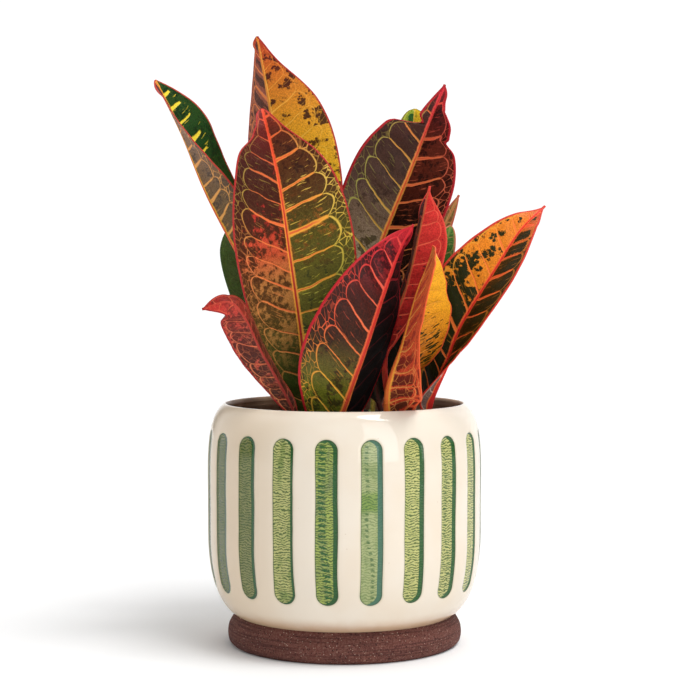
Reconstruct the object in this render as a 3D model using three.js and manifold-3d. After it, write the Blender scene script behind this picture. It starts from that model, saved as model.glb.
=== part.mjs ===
// A potted croton: a glazed ceramic pot with pressed green stripes on a bare clay foot, a plastic grow
// pot of compost standing inside it, five short woody stems, and their broad blotched leaves.
// Millimetres, +Z up. The origin is the middle of the flat clay underside. -Y faces the viewer.

import * as THREE from 'three';
import { mergeVertices } from 'three/addons/utils/BufferGeometryUtils.js';
import Module from 'manifold-3d';

const wasm = await Module();
wasm.setup();

const rad = THREE.MathUtils.degToRad;

// Ceramic pot
const bellyRadius = 75;
const neckRadius = 60.4;
const neckHeight = 16.5;
const footRadius = 64.2;
const footHeight = 11.5;
const footBulgeHeight = 6;
const footTaper = 1;
const footBevel = 2;
const floorHeight = 11.5;
const floorRadius = 46;
const bellyLow = 62;
const bellyHigh = 80;
const lowerWallControls = [[68.5, 21.5], [bellyRadius, 35]];
const upperWallControls = [[bellyRadius, 100], [76.5, 124.5]];
const lipHeight = 131.6;
const lipRadius = 66;
const lipDrop = 1.4;
const mouthRadius = 64.2;
const innerBellyRadius = 70;
const innerBellyLow = 52;
const innerBellyHigh = 95;
const innerUpperControls = [[65, 120], [innerBellyRadius, 118]];
const innerLowerControls = [[innerBellyRadius, 32], [60, 17]];
const potFacets = 40;

// Pressed stripes
const stripeCount = 20;
const stripeWidth = 11.6;
const stripeLow = 32.3;
const stripeHigh = 118;
const stripeDepth = 0.8;
const skinReach = 3;
const firstStripeAngle = -7;

// Grow pot and compost
const seatGap = 0.3;
const growBaseRadius = 44;
const growRimRadius = 59;
const growRimHeight = 123;
const growWall = 1.2;
const growLipWidth = 1.6;
const growLipHeight = 4;
const growFacets = 32;
const drainHoles = 5;
const drainHoleRadius = 4;
const drainHoleRing = 28;
const drainHoleFacets = 10;
const soilTop = 106.5;
const soilCrown = 2;

// Stems
const stemRadius = 3.4;
const stemFoot = 62;
const stemFootBevel = 6;
const stemFootShare = 0.8;
const stemFacets = 8;
const stemHoleLength = 60;
const stemHoleFacets = 10;
const budHeight = 7;
const budShare = 0.75;
const budTipRadius = 0.5;
const stems = {
  left: { x: -26, y: -4, top: 124 },
  back_left: { x: -8, y: 17, top: 126 },
  back_right: { x: 14, y: 24, top: 126 },
  right: { x: 31, y: -9, top: 124 },
  front: { x: 8, y: -27, top: 120 },
};

// Leaf blades
const bladeHalfThickness = 0.4;
const petioleRadius = 1.5;
const petioleEdge = 0.3;
const ribHeight = 1.6;
const ribHalfWidth = 0.08;
const tipHalfWidth = 0.7;
const flatHalfWidth = 2;
const foldedHalfWidth = 8;
const bladeFullness = 0.75;
const petioleSteps = 3;
const bladeSteps = 12;
const bladeShareAtFoot = 0.15;
const bladeShareRise = 12;
const lobeEndRows = [-0.004, 0.012];
const acrossBlade = [-1, -0.55, -ribHalfWidth, 0, ribHalfWidth, 0.55, 1];
const midline = 3;

const colours = {
  glaze: 0xf0e4d2,
  plastic: 0x1d1c1b,
  compost: 0x2e221a,
  wood: 0x6b5138,
};

function material(colour, roughness) {
  return new THREE.MeshStandardMaterial({ color: colour, roughness, metalness: 0 });
}

function toManifold(geometry) {
  const bare = geometry.clone();
  bare.deleteAttribute('normal');
  bare.deleteAttribute('uv');
  const merged = mergeVertices(bare, 1e-4);
  return new wasm.Manifold(new wasm.Mesh({
    numProp: 3,
    vertProperties: new Float32Array(merged.attributes.position.array),
    triVerts: new Uint32Array(merged.index.array),
  }));
}

function toGeometry(solid) {
  const mesh = solid.getMesh();
  const geometry = new THREE.BufferGeometry();
  geometry.setAttribute('position', new THREE.BufferAttribute(mesh.vertProperties, 3));
  geometry.setIndex(new THREE.BufferAttribute(mesh.triVerts, 1));
  geometry.computeVertexNormals();
  return geometry;
}

// A turned form about +Z from an outline of (radius, height) points, listed from the underside's
// middle round the outside and back to the axis. The middle of a facet faces -Y, turned by an angle.
function turned(points, facets, angle = 0) {
  const geometry = new THREE.LatheGeometry(points, facets);
  geometry.rotateX(Math.PI / 2);
  geometry.rotateZ(Math.PI / facets + rad(angle));
  return geometry;
}

function bezier(from, controlA, controlB, to, steps) {
  const curve = new THREE.CubicBezierCurve(
    new THREE.Vector2(...from), new THREE.Vector2(...controlA),
    new THREE.Vector2(...controlB), new THREE.Vector2(...to));
  return curve.getPoints(steps);
}

function outerWall() {
  const neck = [neckRadius, neckHeight];
  const lip = [lipRadius, lipHeight];
  return [
    ...bezier(neck, ...lowerWallControls, [bellyRadius, bellyLow], 4),
    ...bezier([bellyRadius, bellyHigh], ...upperWallControls, lip, 5),
  ];
}

function innerWall() {
  const mouth = [mouthRadius, lipHeight - lipDrop];
  const floorEdge = [floorRadius, floorHeight];
  return [
    ...bezier(mouth, ...innerUpperControls, [innerBellyRadius, innerBellyHigh], 3),
    ...bezier([innerBellyRadius, innerBellyLow], ...innerLowerControls, floorEdge, 4),
  ];
}

function footOutline() {
  const lowerRadius = footRadius - 0.3 * footBevel;
  return [
    new THREE.Vector2(0, 0),
    new THREE.Vector2(lowerRadius - footBevel, 0),
    new THREE.Vector2(lowerRadius, footBevel),
    new THREE.Vector2(footRadius, footBulgeHeight),
    new THREE.Vector2(footRadius - footTaper, footHeight),
  ];
}

// A bar with round ends, pushed out through the wall along -Y. Trimmed to a skin that follows the pot's
// own curve, it cuts a stripe whose floor lies the same depth below the glaze all over.
function stripeBar() {
  const half = stripeWidth / 2;
  const outline = new THREE.Shape();
  outline.absarc(0, stripeHigh - half, half, 0, Math.PI, false);
  outline.absarc(0, stripeLow + half, half, Math.PI, 2 * Math.PI, false);
  const bar = new THREE.ExtrudeGeometry(outline, {
    depth: bellyRadius + 2 * skinReach, bevelEnabled: false, curveSegments: 3,
  });
  bar.rotateX(Math.PI / 2);
  return toManifold(bar);
}

function ceramicPot() {
  const axisFloor = new THREE.Vector2(0, floorHeight);
  const outline = [...footOutline(), ...outerWall(), ...innerWall(), axisFloor];
  const body = toManifold(turned(outline, potFacets, firstStripeAngle));
  const outer = outerWall().map((point) => new THREE.Vector2(point.x + skinReach, point.y));
  const inner = outerWall().map((point) => new THREE.Vector2(point.x - stripeDepth, point.y)).reverse();
  const skin = toManifold(turned([...outer, ...inner, outer[0]], potFacets, firstStripeAngle));
  let pot = body;
  for (let i = 0; i < stripeCount; i += 1) {
    const bar = stripeBar().rotate([0, 0, firstStripeAngle + (360 * i) / stripeCount]);
    pot = pot.subtract(bar.intersect(skin));
  }
  return toGeometry(pot);
}

// The grow pot's outer radius at a height between its base and its rim.
function growRadiusAt(height) {
  const base = floorHeight + seatGap;
  return THREE.MathUtils.mapLinear(height, base, growRimHeight, growBaseRadius, growRimRadius);
}

function growPot() {
  const base = floorHeight + seatGap;
  const lipFoot = growRimHeight - growLipHeight;
  const outline = [
    [0, base],
    [growBaseRadius, base],
    [growRadiusAt(lipFoot), lipFoot],
    [growRimRadius + growLipWidth, lipFoot],
    [growRimRadius + growLipWidth, growRimHeight],
    [growRimRadius - growWall, growRimHeight],
    [growBaseRadius - growWall, base + growWall],
    [0, base + growWall],
  ].map(([radius, height]) => new THREE.Vector2(radius, height));
  let pot = toManifold(turned(outline, growFacets));
  for (let i = 0; i < drainHoles; i += 1) {
    const angle = (2 * Math.PI * i) / drainHoles;
    const length = 4 * growWall;
    const hole = new THREE.CylinderGeometry(drainHoleRadius, drainHoleRadius, length, drainHoleFacets);
    hole.rotateX(Math.PI / 2);
    hole.translate(drainHoleRing * Math.cos(angle), drainHoleRing * Math.sin(angle), base);
    pot = pot.subtract(toManifold(hole));
  }
  return toGeometry(pot);
}

function compost() {
  const floor = floorHeight + growWall + 2 * seatGap;
  const sideRadius = (height) => growRadiusAt(height) - growWall - 2 * seatGap;
  const outline = [
    new THREE.Vector2(0, floor),
    new THREE.Vector2(sideRadius(floor), floor),
    new THREE.Vector2(sideRadius(soilTop), soilTop),
    new THREE.Vector2(sideRadius(soilTop) * 0.6, soilTop + soilCrown * 0.7),
    new THREE.Vector2(0, soilTop + soilCrown),
  ];
  let soil = toManifold(turned(outline, growFacets));
  for (const stem of Object.values(stems)) {
    const radius = stemRadius + seatGap;
    const hole = new THREE.CylinderGeometry(radius, radius, stemHoleLength, stemHoleFacets);
    hole.rotateX(Math.PI / 2);
    hole.translate(stem.x, stem.y, stemFoot - seatGap + stemHoleLength / 2);
    soil = soil.subtract(toManifold(hole));
  }
  return toGeometry(soil);
}

function woodyStem(stem) {
  const shoulder = stem.top - budHeight;
  const outline = [
    [0, stemFoot],
    [stemRadius * stemFootShare, stemFoot],
    [stemRadius, stemFoot + stemFootBevel],
    [stemRadius, shoulder],
    [stemRadius * budShare, shoulder + budHeight * 0.4],
    [budTipRadius, stem.top],
    [0, stem.top],
  ].map(([radius, height]) => new THREE.Vector2(radius, height));
  const geometry = turned(outline, stemFacets);
  geometry.translate(stem.x, stem.y, 0);
  return toGeometry(toManifold(geometry));
}

// The leaf's stalk starts on the stem's bark, on the side that the blade stands on.
function petioleRoot(stem, height, base) {
  const out = new THREE.Vector3(base.x - stem.x, base.y - stem.y, 0).normalize();
  const bark = new THREE.Vector3(stem.x, stem.y, height).addScaledVector(out, stemRadius);
  const rise = Math.abs(base.clone().sub(bark).normalize().z);
  return bark.addScaledVector(out, seatGap + petioleRadius * rise);
}

// Values named at the base, middle and tip of a blade, read smoothly at s from 0 to 1.
function along([atBase, atMiddle, atTip], s) {
  const ease = (x) => x * x * (3 - 2 * x);
  if (s < 0.5) {
    return atBase + (atMiddle - atBase) * ease(2 * s);
  }
  return atMiddle + (atTip - atMiddle) * ease(2 * s - 1);
}

// Half the blade's width on one side: a long oval that comes to a point, with the lobes and nicks
// that this leaf has in its margin on that side.
function halfWidthAt(leaf, side, s) {
  const reach = Math.sin(Math.PI * Math.min(1, s) ** (Math.log(0.5) / Math.log(leaf.widest)));
  const taper = s < leaf.widest ? bladeFullness : leaf.tipTaper ?? bladeFullness;
  let width = leaf.halfWidth * (leaf.share?.[side] ?? 1) * Math.max(0, reach) ** taper;
  for (const lobe of leaf.lobes ?? []) {
    if (lobe.side === side && s > lobe.at) {
      width *= lobe.keep;
    }
  }
  for (const nick of leaf.nicks ?? []) {
    if (nick.side === side) {
      width *= 1 - nick.depth * Math.exp(-(((s - nick.at) / nick.reach) ** 2));
    }
  }
  return Math.max(width, tipHalfWidth);
}

// Where a point of the blade lies, from -1 at the left margin to 1 at the right one, as distances
// along the blade's cross direction and its face direction.
function crossSection(leaf, s, u) {
  const side = u < 0 ? 'left' : 'right';
  const width = halfWidthAt(leaf, side, s);
  const spread = (width - flatHalfWidth) / (foldedHalfWidth - flatHalfWidth);
  const flatten = THREE.MathUtils.clamp(spread, 0, 1);
  const fold = rad(along(leaf.fold[side], s)) * flatten;
  const curl = rad(along(leaf.curl, s)) * flatten + 1e-4;
  const reach = Math.abs(u);
  const across = (width * (Math.sin(fold + curl * reach) - Math.sin(fold))) / curl;
  const lift = (width * (Math.cos(fold) - Math.cos(fold + curl * reach))) / curl;
  const wave = leaf.wave.height * reach ** 2 * Math.sin(Math.PI * s) * flatten
    * Math.sin(2 * Math.PI * leaf.wave.count * s + (side === 'left' ? 0 : leaf.wave.shift));
  return { across: Math.sign(u) * across, lift: lift + wave };
}

// The rows of the blade: even steps, with a close pair where a lobe ends.
function bladeRows(leaf) {
  const rows = [];
  for (let i = 0; i <= bladeSteps; i += 1) {
    rows.push(i / bladeSteps);
  }
  for (const lobe of leaf.lobes ?? []) {
    rows.push(...lobeEndRows.map((offset) => lobe.at + offset));
  }
  return rows.sort((a, b) => a - b);
}

// The middle surface of stalk and blade, as rows of points across the leaf.
function leafSurface(leaf) {
  const spine = leaf.spine.map((point) => new THREE.Vector3(...point));
  const root = petioleRoot(stems[leaf.stem], leaf.rootHeight, spine[0]);
  const curve = new THREE.CatmullRomCurve3([root, ...spine], false, 'catmullrom', 0.5);
  const bladeStart = 1 / spine.length;
  const rows = [];
  const place = (t, s, bladeShare) => {
    const middle = curve.getPoint(t);
    const tangent = curve.getTangent(t);
    const face = new THREE.Vector3(...(leaf.faces ?? [0, -1, 0]));
    face.addScaledVector(tangent, -face.dot(tangent)).normalize();
    face.applyAxisAngle(tangent, rad(along(leaf.turn, s)));
    const cross = new THREE.Vector3().crossVectors(tangent, face);
    rows.push(acrossBlade.map((u, column) => {
      const blade = crossSection(leaf, s, u);
      const aside = (column - midline) / midline;
      const across = THREE.MathUtils.lerp(petioleRadius * aside, blade.across, bladeShare);
      const rod = THREE.MathUtils.lerp(petioleEdge, petioleRadius, Math.sqrt(1 - aside ** 2));
      const halfThickness = THREE.MathUtils.lerp(rod, bladeHalfThickness, bladeShare);
      const rib = column === midline ? ribHeight * (1 - s) * bladeShare : 0;
      const point = middle.clone().addScaledVector(cross, across);
      point.addScaledVector(face, blade.lift * bladeShare);
      return { point, halfThickness, rib };
    }));
  };
  for (let i = 0; i < petioleSteps; i += 1) {
    place((bladeStart * i) / petioleSteps, 0, 0);
  }
  for (const s of bladeRows(leaf)) {
    const bladeShare = Math.min(1, bladeShareAtFoot + bladeShareRise * s);
    place(bladeStart + (1 - bladeStart) * s, s, bladeShare);
  }
  return rows;
}

function surfaceNormal(rows, i, j) {
  const before = rows[Math.max(0, i - 1)][j].point;
  const after = rows[Math.min(rows.length - 1, i + 1)][j].point;
  const left = rows[i][Math.max(0, j - 1)].point;
  const right = rows[i][Math.min(rows[i].length - 1, j + 1)].point;
  const lengthwise = after.clone().sub(before);
  return new THREE.Vector3().crossVectors(right.clone().sub(left), lengthwise).normalize();
}

// The two faces are split into triangles along the same diagonals, so that they stay parallel.
function leafBlade(leaf) {
  const rows = leafSurface(leaf);
  const columns = acrossBlade.length;
  const positions = [];
  const index = [];
  rows.forEach((row, i) => row.forEach(({ point, halfThickness, rib }, j) => {
    const normal = surfaceNormal(rows, i, j);
    positions.push(...point.clone().addScaledVector(normal, halfThickness).toArray());
    positions.push(...point.clone().addScaledVector(normal, -halfThickness - rib).toArray());
  }));
  const top = (i, j) => 2 * (i * columns + j);
  const under = (i, j) => top(i, j) + 1;
  const quad = (a, b, c, d) => index.push(a, b, c, a, c, d);
  const last = columns - 1;
  for (let i = 0; i < rows.length - 1; i += 1) {
    for (let j = 0; j < last; j += 1) {
      quad(top(i, j), top(i, j + 1), top(i + 1, j + 1), top(i + 1, j));
      index.push(under(i, j), under(i + 1, j + 1), under(i, j + 1));
      index.push(under(i, j), under(i + 1, j), under(i + 1, j + 1));
    }
    quad(top(i, 0), top(i + 1, 0), under(i + 1, 0), under(i, 0));
    quad(top(i, last), under(i, last), under(i + 1, last), top(i + 1, last));
  }
  const end = rows.length - 1;
  for (let j = 0; j < last; j += 1) {
    quad(top(0, j), under(0, j), under(0, j + 1), top(0, j + 1));
    quad(top(end, j), top(end, j + 1), under(end, j + 1), under(end, j));
  }
  const geometry = new THREE.BufferGeometry();
  geometry.setAttribute('position', new THREE.Float32BufferAttribute(positions, 3));
  geometry.setIndex(index);
  return toGeometry(toManifold(geometry));
}

// Each leaf: the stem that carries it and the height of its stalk there, its spine from the foot of
// the blade to the tip, half its width, which way its upper face looks (-Y where that isn't given) and
// how it turns from there at base, middle and tip (degrees), how far each half is folded up from
// flat, and how the halves curl and wave.
const leaves = [
  {
    name: 'leaf_front_tall', stem: 'left', rootHeight: 113, colour: 0x4a2a33,
    spine: [[-19, -13, 120], [-22.8, -20, 164], [-29, -26, 211], [-35, -24, 251], [-44.3, -14, 291]],
    halfWidth: 36, widest: 0.54, tipTaper: 0.62, turn: [12, 12, 14],
    fold: { left: [20, 26, 30], right: [16, 18, 22] }, curl: [4, 6, 6],
    wave: { count: 2.5, height: 1.2, shift: 1 },
    nicks: [
      { side: 'left', at: 0.895, depth: 0.28, reach: 0.035 },
      { side: 'left', at: 0.955, depth: 0.5, reach: 0.045 },
      { side: 'right', at: 0.97, depth: 0.45, reach: 0.12 },
    ],
  },
  {
    name: 'leaf_back_tall', stem: 'back_left', rootHeight: 117, colour: 0xd98a2b,
    spine: [[-21, 10, 134], [-27.7, 16, 188], [-34.2, 14, 243], [-41, 9, 293], [-47.8, 4, 332]],
    halfWidth: 35, widest: 0.55, tipTaper: 0.8, turn: [-10, -24, -30],
    fold: { left: [-20, -34, -40], right: [-8, -12, -18] }, curl: [-2, -2, -2],
    wave: { count: 2, height: 1, shift: 2 },
    nicks: [{ side: 'right', at: 0.95, depth: 0.42, reach: 0.12 }],
  },
  {
    name: 'leaf_left_tall', stem: 'left', rootHeight: 117, colour: 0x6a5b45,
    spine: [[-30, -3, 131], [-39.9, 2, 169], [-53.9, 4, 204], [-74.8, 2, 245], [-88.3, -4, 278],
      [-102, -12, 306.5]],
    halfWidth: 27, widest: 0.55, turn: [96, 92, 50], fold: { left: [30, 34, 40], right: [30, 34, 8] },
    curl: [2, 2, 2], wave: { count: 2, height: 1, shift: 1 },
    nicks: [{ side: 'right', at: 0.84, depth: -0.22, reach: 0.1 }],
  },
  {
    name: 'leaf_right_tall', stem: 'back_left', rootHeight: 113, colour: 0x3c2428,
    spine: [[-2, 19, 135], [8.6, 29, 185], [22, 31, 223], [37.4, 27, 261], [46.6, 21, 285], [55.5, 15, 307]],
    halfWidth: 33.5, widest: 0.52, tipTaper: 0.95, turn: [0, 0, 4], fold: { left: [12, 14, 14], right: [30, 34, 46] },
    curl: [4, 6, 6], wave: { count: 2, height: 1, shift: 2 },
    lobes: [{ side: 'left', at: 0.785, keep: 0.42 }],
    nicks: [
      { side: 'right', at: 0.765, depth: 0.2, reach: 0.014 },
      { side: 'right', at: 0.79, depth: 0.16, reach: 0.04 },
      { side: 'right', at: 0.92, depth: 0.5, reach: 0.05 },
      { side: 'left', at: 0.805, depth: 0.5, reach: 0.02 },
    ],
  },
  {
    name: 'leaf_back_yellow', stem: 'back_right', rootHeight: 117, colour: 0xc9b52c,
    spine: [[17, 34, 136], [27.5, 46, 193], [36.5, 52, 250], [40.5, 52, 297]],
    halfWidth: 16, widest: 0.6, tipTaper: 0.45, turn: [0, -8, -10],
    fold: { left: [20, 24, 20], right: [20, 24, 20] }, curl: [4, 6, 6],
    wave: { count: 2, height: 1, shift: 2 },
  },
  {
    name: 'leaf_front_crimson', stem: 'front', rootHeight: 110.5, colour: 0x8e1f33,
    spine: [[-4, -38, 116], [2.5, -48, 139], [10.8, -56, 163], [21.1, -56, 194], [29.1, -48, 215],
      [36.2, -40, 228]],
    halfWidth: 32.5, widest: 0.4, tipTaper: 1.05, share: { left: 1, right: 0.85 }, turn: [24, 34, 44],
    fold: { left: [-14, -14, -16], right: [-30, -28, -30] }, curl: [-4, -6, -6],
    wave: { count: 2, height: 1, shift: 1 },
    nicks: [{ side: 'left', at: 0.88, depth: 0.3, reach: 0.26 }],
  },
  {
    name: 'leaf_red_upright', stem: 'right', rootHeight: 112, colour: 0xb02a2c,
    spine: [[21.5, -28, 156], [33.8, -27, 197], [40.9, -22, 227], [46, -14, 249.4]],
    halfWidth: 18, widest: 0.54, tipTaper: 1.6, share: { left: 0.7, right: 0.95 }, turn: [-34, -36, -36],
    fold: { left: [-30, -44, -40], right: [-4, -8, -10] }, curl: [0, -4, -4],
    wave: { count: 1.5, height: 0.6, shift: 1 },
  },
  {
    name: 'leaf_front_yellow', stem: 'front', rootHeight: 111.5, colour: 0xe0a126,
    spine: [[21, -44, 119], [22.8, -50, 142], [30.4, -56, 165.5], [37.5, -58, 191.4], [42.8, -54, 205.3],
      [46.7, -48, 216.7]],
    halfWidth: 26, widest: 0.46, turn: [125, 72, 62], fold: { left: [54, 27, 30], right: [40, 36, 18] },
    curl: [4, 6, 4], wave: { count: 1, height: 0.6, shift: 1 },
  },
  {
    name: 'leaf_right_orange', stem: 'right', rootHeight: 116, colour: 0xcf6b22,
    spine: [[42.7, -24, 124], [47.3, -28, 138], [55.4, -34, 157], [62.1, -36, 175], [78.2, -38, 202],
      [92.9, -32, 224.4], [107.2, -22, 238.5]],
    halfWidth: 26, widest: 0.54, tipTaper: 1.25, share: { left: 1, right: 0.9 }, turn: [-100, -44, -26],
    fold: { left: [30, 24, 20], right: [44, 24, 24] }, curl: [4, 4, 4],
    wave: { count: 2, height: 0.8, shift: 2 },
    nicks: [{ side: 'right', at: 0.32, depth: 0.3, reach: 0.16 }],
  },
  {
    name: 'leaf_low_left', stem: 'left', rootHeight: 111.5, colour: 0x7c2129,
    spine: [[-25.2, -37, 124.6], [-32.2, -46, 141.6], [-43, -54.5, 162], [-50.5, -59, 178.3],
      [-59, -61, 187.7], [-73, -60, 184.1]],
    halfWidth: 13.5, widest: 0.55, tipTaper: 1, turn: [30, 30, 20],
    fold: { left: [-44, -44, -20], right: [-44, -50, -40] }, curl: [0, 0, 0],
    wave: { count: 1.5, height: 0.5, shift: 1 },
  },
  {
    name: 'leaf_left_green', stem: 'left', rootHeight: 114, colour: 0x1f4a26,
    spine: [[-31, 13, 131], [-41.5, 32, 162.5], [-52, 42, 193], [-61, 46, 216], [-66, 48, 230]],
    halfWidth: 15, widest: 0.5, share: { left: 1, right: 0.75 }, turn: [10, 10, 0],
    fold: { left: [10, 16, 16], right: [16, 20, 20] }, curl: [4, 4, 4],
    wave: { count: 1.5, height: 0.8, shift: 2 },
  },
  {
    name: 'leaf_back_right_narrow', stem: 'back_right', rootHeight: 114, colour: 0x5c5a32,
    spine: [[24, 24, 134], [40.5, 37, 187.4], [54.5, 41, 224.1], [65, 39, 247]],
    halfWidth: 5.5, widest: 0.5, turn: [0, 0, 10], fold: { left: [16, 20, 16], right: [20, 24, 30] },
    curl: [4, 4, 4], wave: { count: 1.5, height: 0.8, shift: 2 },
  },
  {
    name: 'leaf_right_green', stem: 'right', rootHeight: 117.5, colour: 0x2c5a26,
    spine: [[38.9, 0, 132.7], [46.5, -1, 176.8], [52, -4, 209.8], [57.9, -6, 228.4]],
    halfWidth: 7.5, widest: 0.6, tipTaper: 0.5, turn: [0, 10, 20],
    fold: { left: [16, 20, 16], right: [20, 24, 30] }, curl: [4, 4, 4],
    wave: { count: 1, height: 0.4, shift: 2 },
  },
  {
    name: 'leaf_centre_dark', stem: 'right', rootHeight: 114.5, colour: 0x2c3322,
    spine: [[19, -3, 131], [16.5, 2, 160], [19, 4, 190], [23, 4, 214]],
    halfWidth: 18, widest: 0.5, turn: [0, 0, 0], fold: { left: [14, 18, 16], right: [14, 18, 16] },
    curl: [4, 4, 4], wave: { count: 1.5, height: 0.6, shift: 2 },
  },
  {
    name: 'leaf_rear_tall', stem: 'back_left', rootHeight: 118.5, colour: 0x4a3a2a,
    spine: [[-16, 34, 134], [-22, 60, 182], [-26, 80, 226], [-25, 92, 262]],
    halfWidth: 30, widest: 0.54, faces: [0, -1, 1], turn: [176, 180, 186],
    fold: { left: [14, 18, 20], right: [14, 20, 24] }, curl: [4, 6, 6],
    wave: { count: 2, height: 1, shift: 2 },
  },
  {
    name: 'leaf_rear_middle', stem: 'back_right', rootHeight: 112.5, colour: 0xb8862a,
    spine: [[9, 44, 128], [12, 70, 168], [18, 93, 204], [25, 113, 230]],
    halfWidth: 26, widest: 0.54, faces: [0, -1, 1], turn: [0, -4, -8],
    fold: { left: [16, 20, 16], right: [16, 18, 16] }, curl: [4, 6, 6],
    wave: { count: 2, height: 1, shift: 2 },
  },
  {
    name: 'leaf_rear_right', stem: 'back_right', rootHeight: 118.5, colour: 0x7a2a30,
    spine: [[29, 33, 137], [40, 46, 170], [48, 60, 202], [52, 72, 229]],
    halfWidth: 19, widest: 0.54, faces: [0, -1, 1], turn: [166, 160, 156],
    fold: { left: [16, 20, 16], right: [16, 16, 16] }, curl: [4, 6, 6],
    wave: { count: 2, height: 0.8, shift: 2 },
  },
  {
    name: 'leaf_rear_low_left', stem: 'back_left', rootHeight: 112.5, colour: 0x33502a,
    spine: [[-19, 40, 126], [-26, 62, 147], [-31, 86, 161], [-33, 109, 163]],
    halfWidth: 17, widest: 0.54, faces: [0, -1, 1], turn: [0, 6, 10],
    fold: { left: [12, 10, 6], right: [12, 10, 6] }, curl: [-2, -6, -6],
    wave: { count: 2, height: 0.8, shift: 2 },
  },
  {
    name: 'leaf_rear_low_right', stem: 'back_right', rootHeight: 110.8, colour: 0x84402a,
    spine: [[32, 38, 129], [42, 58, 149], [51, 80, 160], [57, 101, 158]],
    halfWidth: 17, widest: 0.54, faces: [0, -1, 1], turn: [0, -6, -10],
    fold: { left: [12, 10, 6], right: [12, 10, 6] }, curl: [-2, -6, -6],
    wave: { count: 2, height: 0.8, shift: 2 },
  },
];

function add(group, name, geometry, surface) {
  const mesh = new THREE.Mesh(geometry, surface);
  mesh.name = name;
  group.add(mesh);
}

const croton = new THREE.Group();
add(croton, 'pot', ceramicPot(), material(colours.glaze, 0.25));
add(croton, 'grow_pot', growPot(), material(colours.plastic, 0.5));
add(croton, 'compost', compost(), material(colours.compost, 0.95));
for (const [place, stem] of Object.entries(stems)) {
  add(croton, `stem_${place}`, woodyStem(stem), material(colours.wood, 0.8));
}
for (const leaf of leaves) {
  add(croton, leaf.name, leafBlade(leaf), material(leaf.colour, 0.35));
}

export default croton;
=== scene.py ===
"""A potted croton: striped glazed pot on a bare clay foot, grow pot, compost, stems and blotched leaves.

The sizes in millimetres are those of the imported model; Blender's own units here are metres.
"""

import math

import bpy
import numpy as np
from bpy.props import FloatProperty, FloatVectorProperty, IntProperty, PointerProperty
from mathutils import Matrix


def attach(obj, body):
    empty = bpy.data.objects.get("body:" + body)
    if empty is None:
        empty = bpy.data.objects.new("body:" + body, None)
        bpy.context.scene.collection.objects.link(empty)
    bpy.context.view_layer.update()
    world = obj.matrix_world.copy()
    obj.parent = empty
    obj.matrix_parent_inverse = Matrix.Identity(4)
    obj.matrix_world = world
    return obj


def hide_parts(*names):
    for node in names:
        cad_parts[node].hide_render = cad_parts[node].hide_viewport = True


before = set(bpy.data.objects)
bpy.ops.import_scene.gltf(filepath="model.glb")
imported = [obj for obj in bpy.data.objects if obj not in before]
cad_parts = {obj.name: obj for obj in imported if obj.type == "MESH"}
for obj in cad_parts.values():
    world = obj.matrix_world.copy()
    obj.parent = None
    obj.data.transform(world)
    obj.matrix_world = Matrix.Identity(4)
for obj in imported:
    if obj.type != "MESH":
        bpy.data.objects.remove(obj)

bl_info = {
    "name": "Potted croton",
    "version": (1, 0, 0),
    "blender": (4, 5, 0),
    "location": "View3D > Sidebar > Croton",
    "description": "Builds a croton house plant with its striped glazed pot",
    "category": "Add Mesh",
}

MM = 0.001
FULL_TURN = 2 * math.pi


def srgb(red, green, blue):
    """A colour given from 0 to 255, as the linear values that Blender's sockets hold."""
    def linear(value):
        share = value / 255
        return share / 12.92 if share <= 0.04045 else ((share + 0.055) / 1.055) ** 2.4
    return tuple(linear(value) for value in (red, green, blue))


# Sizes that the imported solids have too, in millimetres

POT_HEIGHT = 131.6
FLOOR_HEIGHT = 11.5
SEAT_GAP = 0.3
GROW_BASE_RADIUS = 44
GROW_RIM_RADIUS = 59
GROW_RIM_HEIGHT = 123
GROW_FOOT = FLOOR_HEIGHT + SEAT_GAP
GROW_WALL = 1.2
GROW_LIP_WIDTH = 1.6
GROW_LIP_HEIGHT = 4
DRAIN_HOLES = 5
DRAIN_HOLE_RADIUS = 4
DRAIN_HOLE_RING = 28
SOIL_TOP = 106.5
SOIL_CROWN = 2
NECK_HEIGHT = 16.5
NECK_RADIUS = 60.4
FOOT_RECESS_RADIUS = 58
OUTER_BELLY_RADIUS = 75
INNER_BELLY_RADIUS = 70
STRIPE_LOW = 32.3
STRIPE_HIGH = 118
FIRST_STRIPE_ANGLE = -7  # degrees

STEM_RADIUS = 3.4
STEM_FOOT = 62
BUD_HEIGHT = 7
# Each stem's place and the height of its tip
STEMS = {
    "left": (-26, -4, 124),
    "back_left": (-8, 17, 126),
    "back_right": (14, 24, 126),
    "right": (31, -9, 124),
    "front": (8, -27, 120),
}

BLADE_HALF_THICKNESS = 0.4
PETIOLE_RADIUS = 1.5
PETIOLE_EDGE = 0.3
RIB_HEIGHT = 1.6
TIP_HALF_WIDTH = 0.7
BLADE_FULLNESS = 0.75  # the power that rounds a blade's outline below its widest place
ACROSS_BLADE = (-1, -0.55, -0.08, 0, 0.08, 0.55, 1)  # the solids' columns, whose stalk is round
LOBE_LEAD = 0.004  # a lobe is cut off from this share of the blade before its place
LOBE_LENGTH = 0.016

# Sizes in millimetres and other values that only this script has

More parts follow.
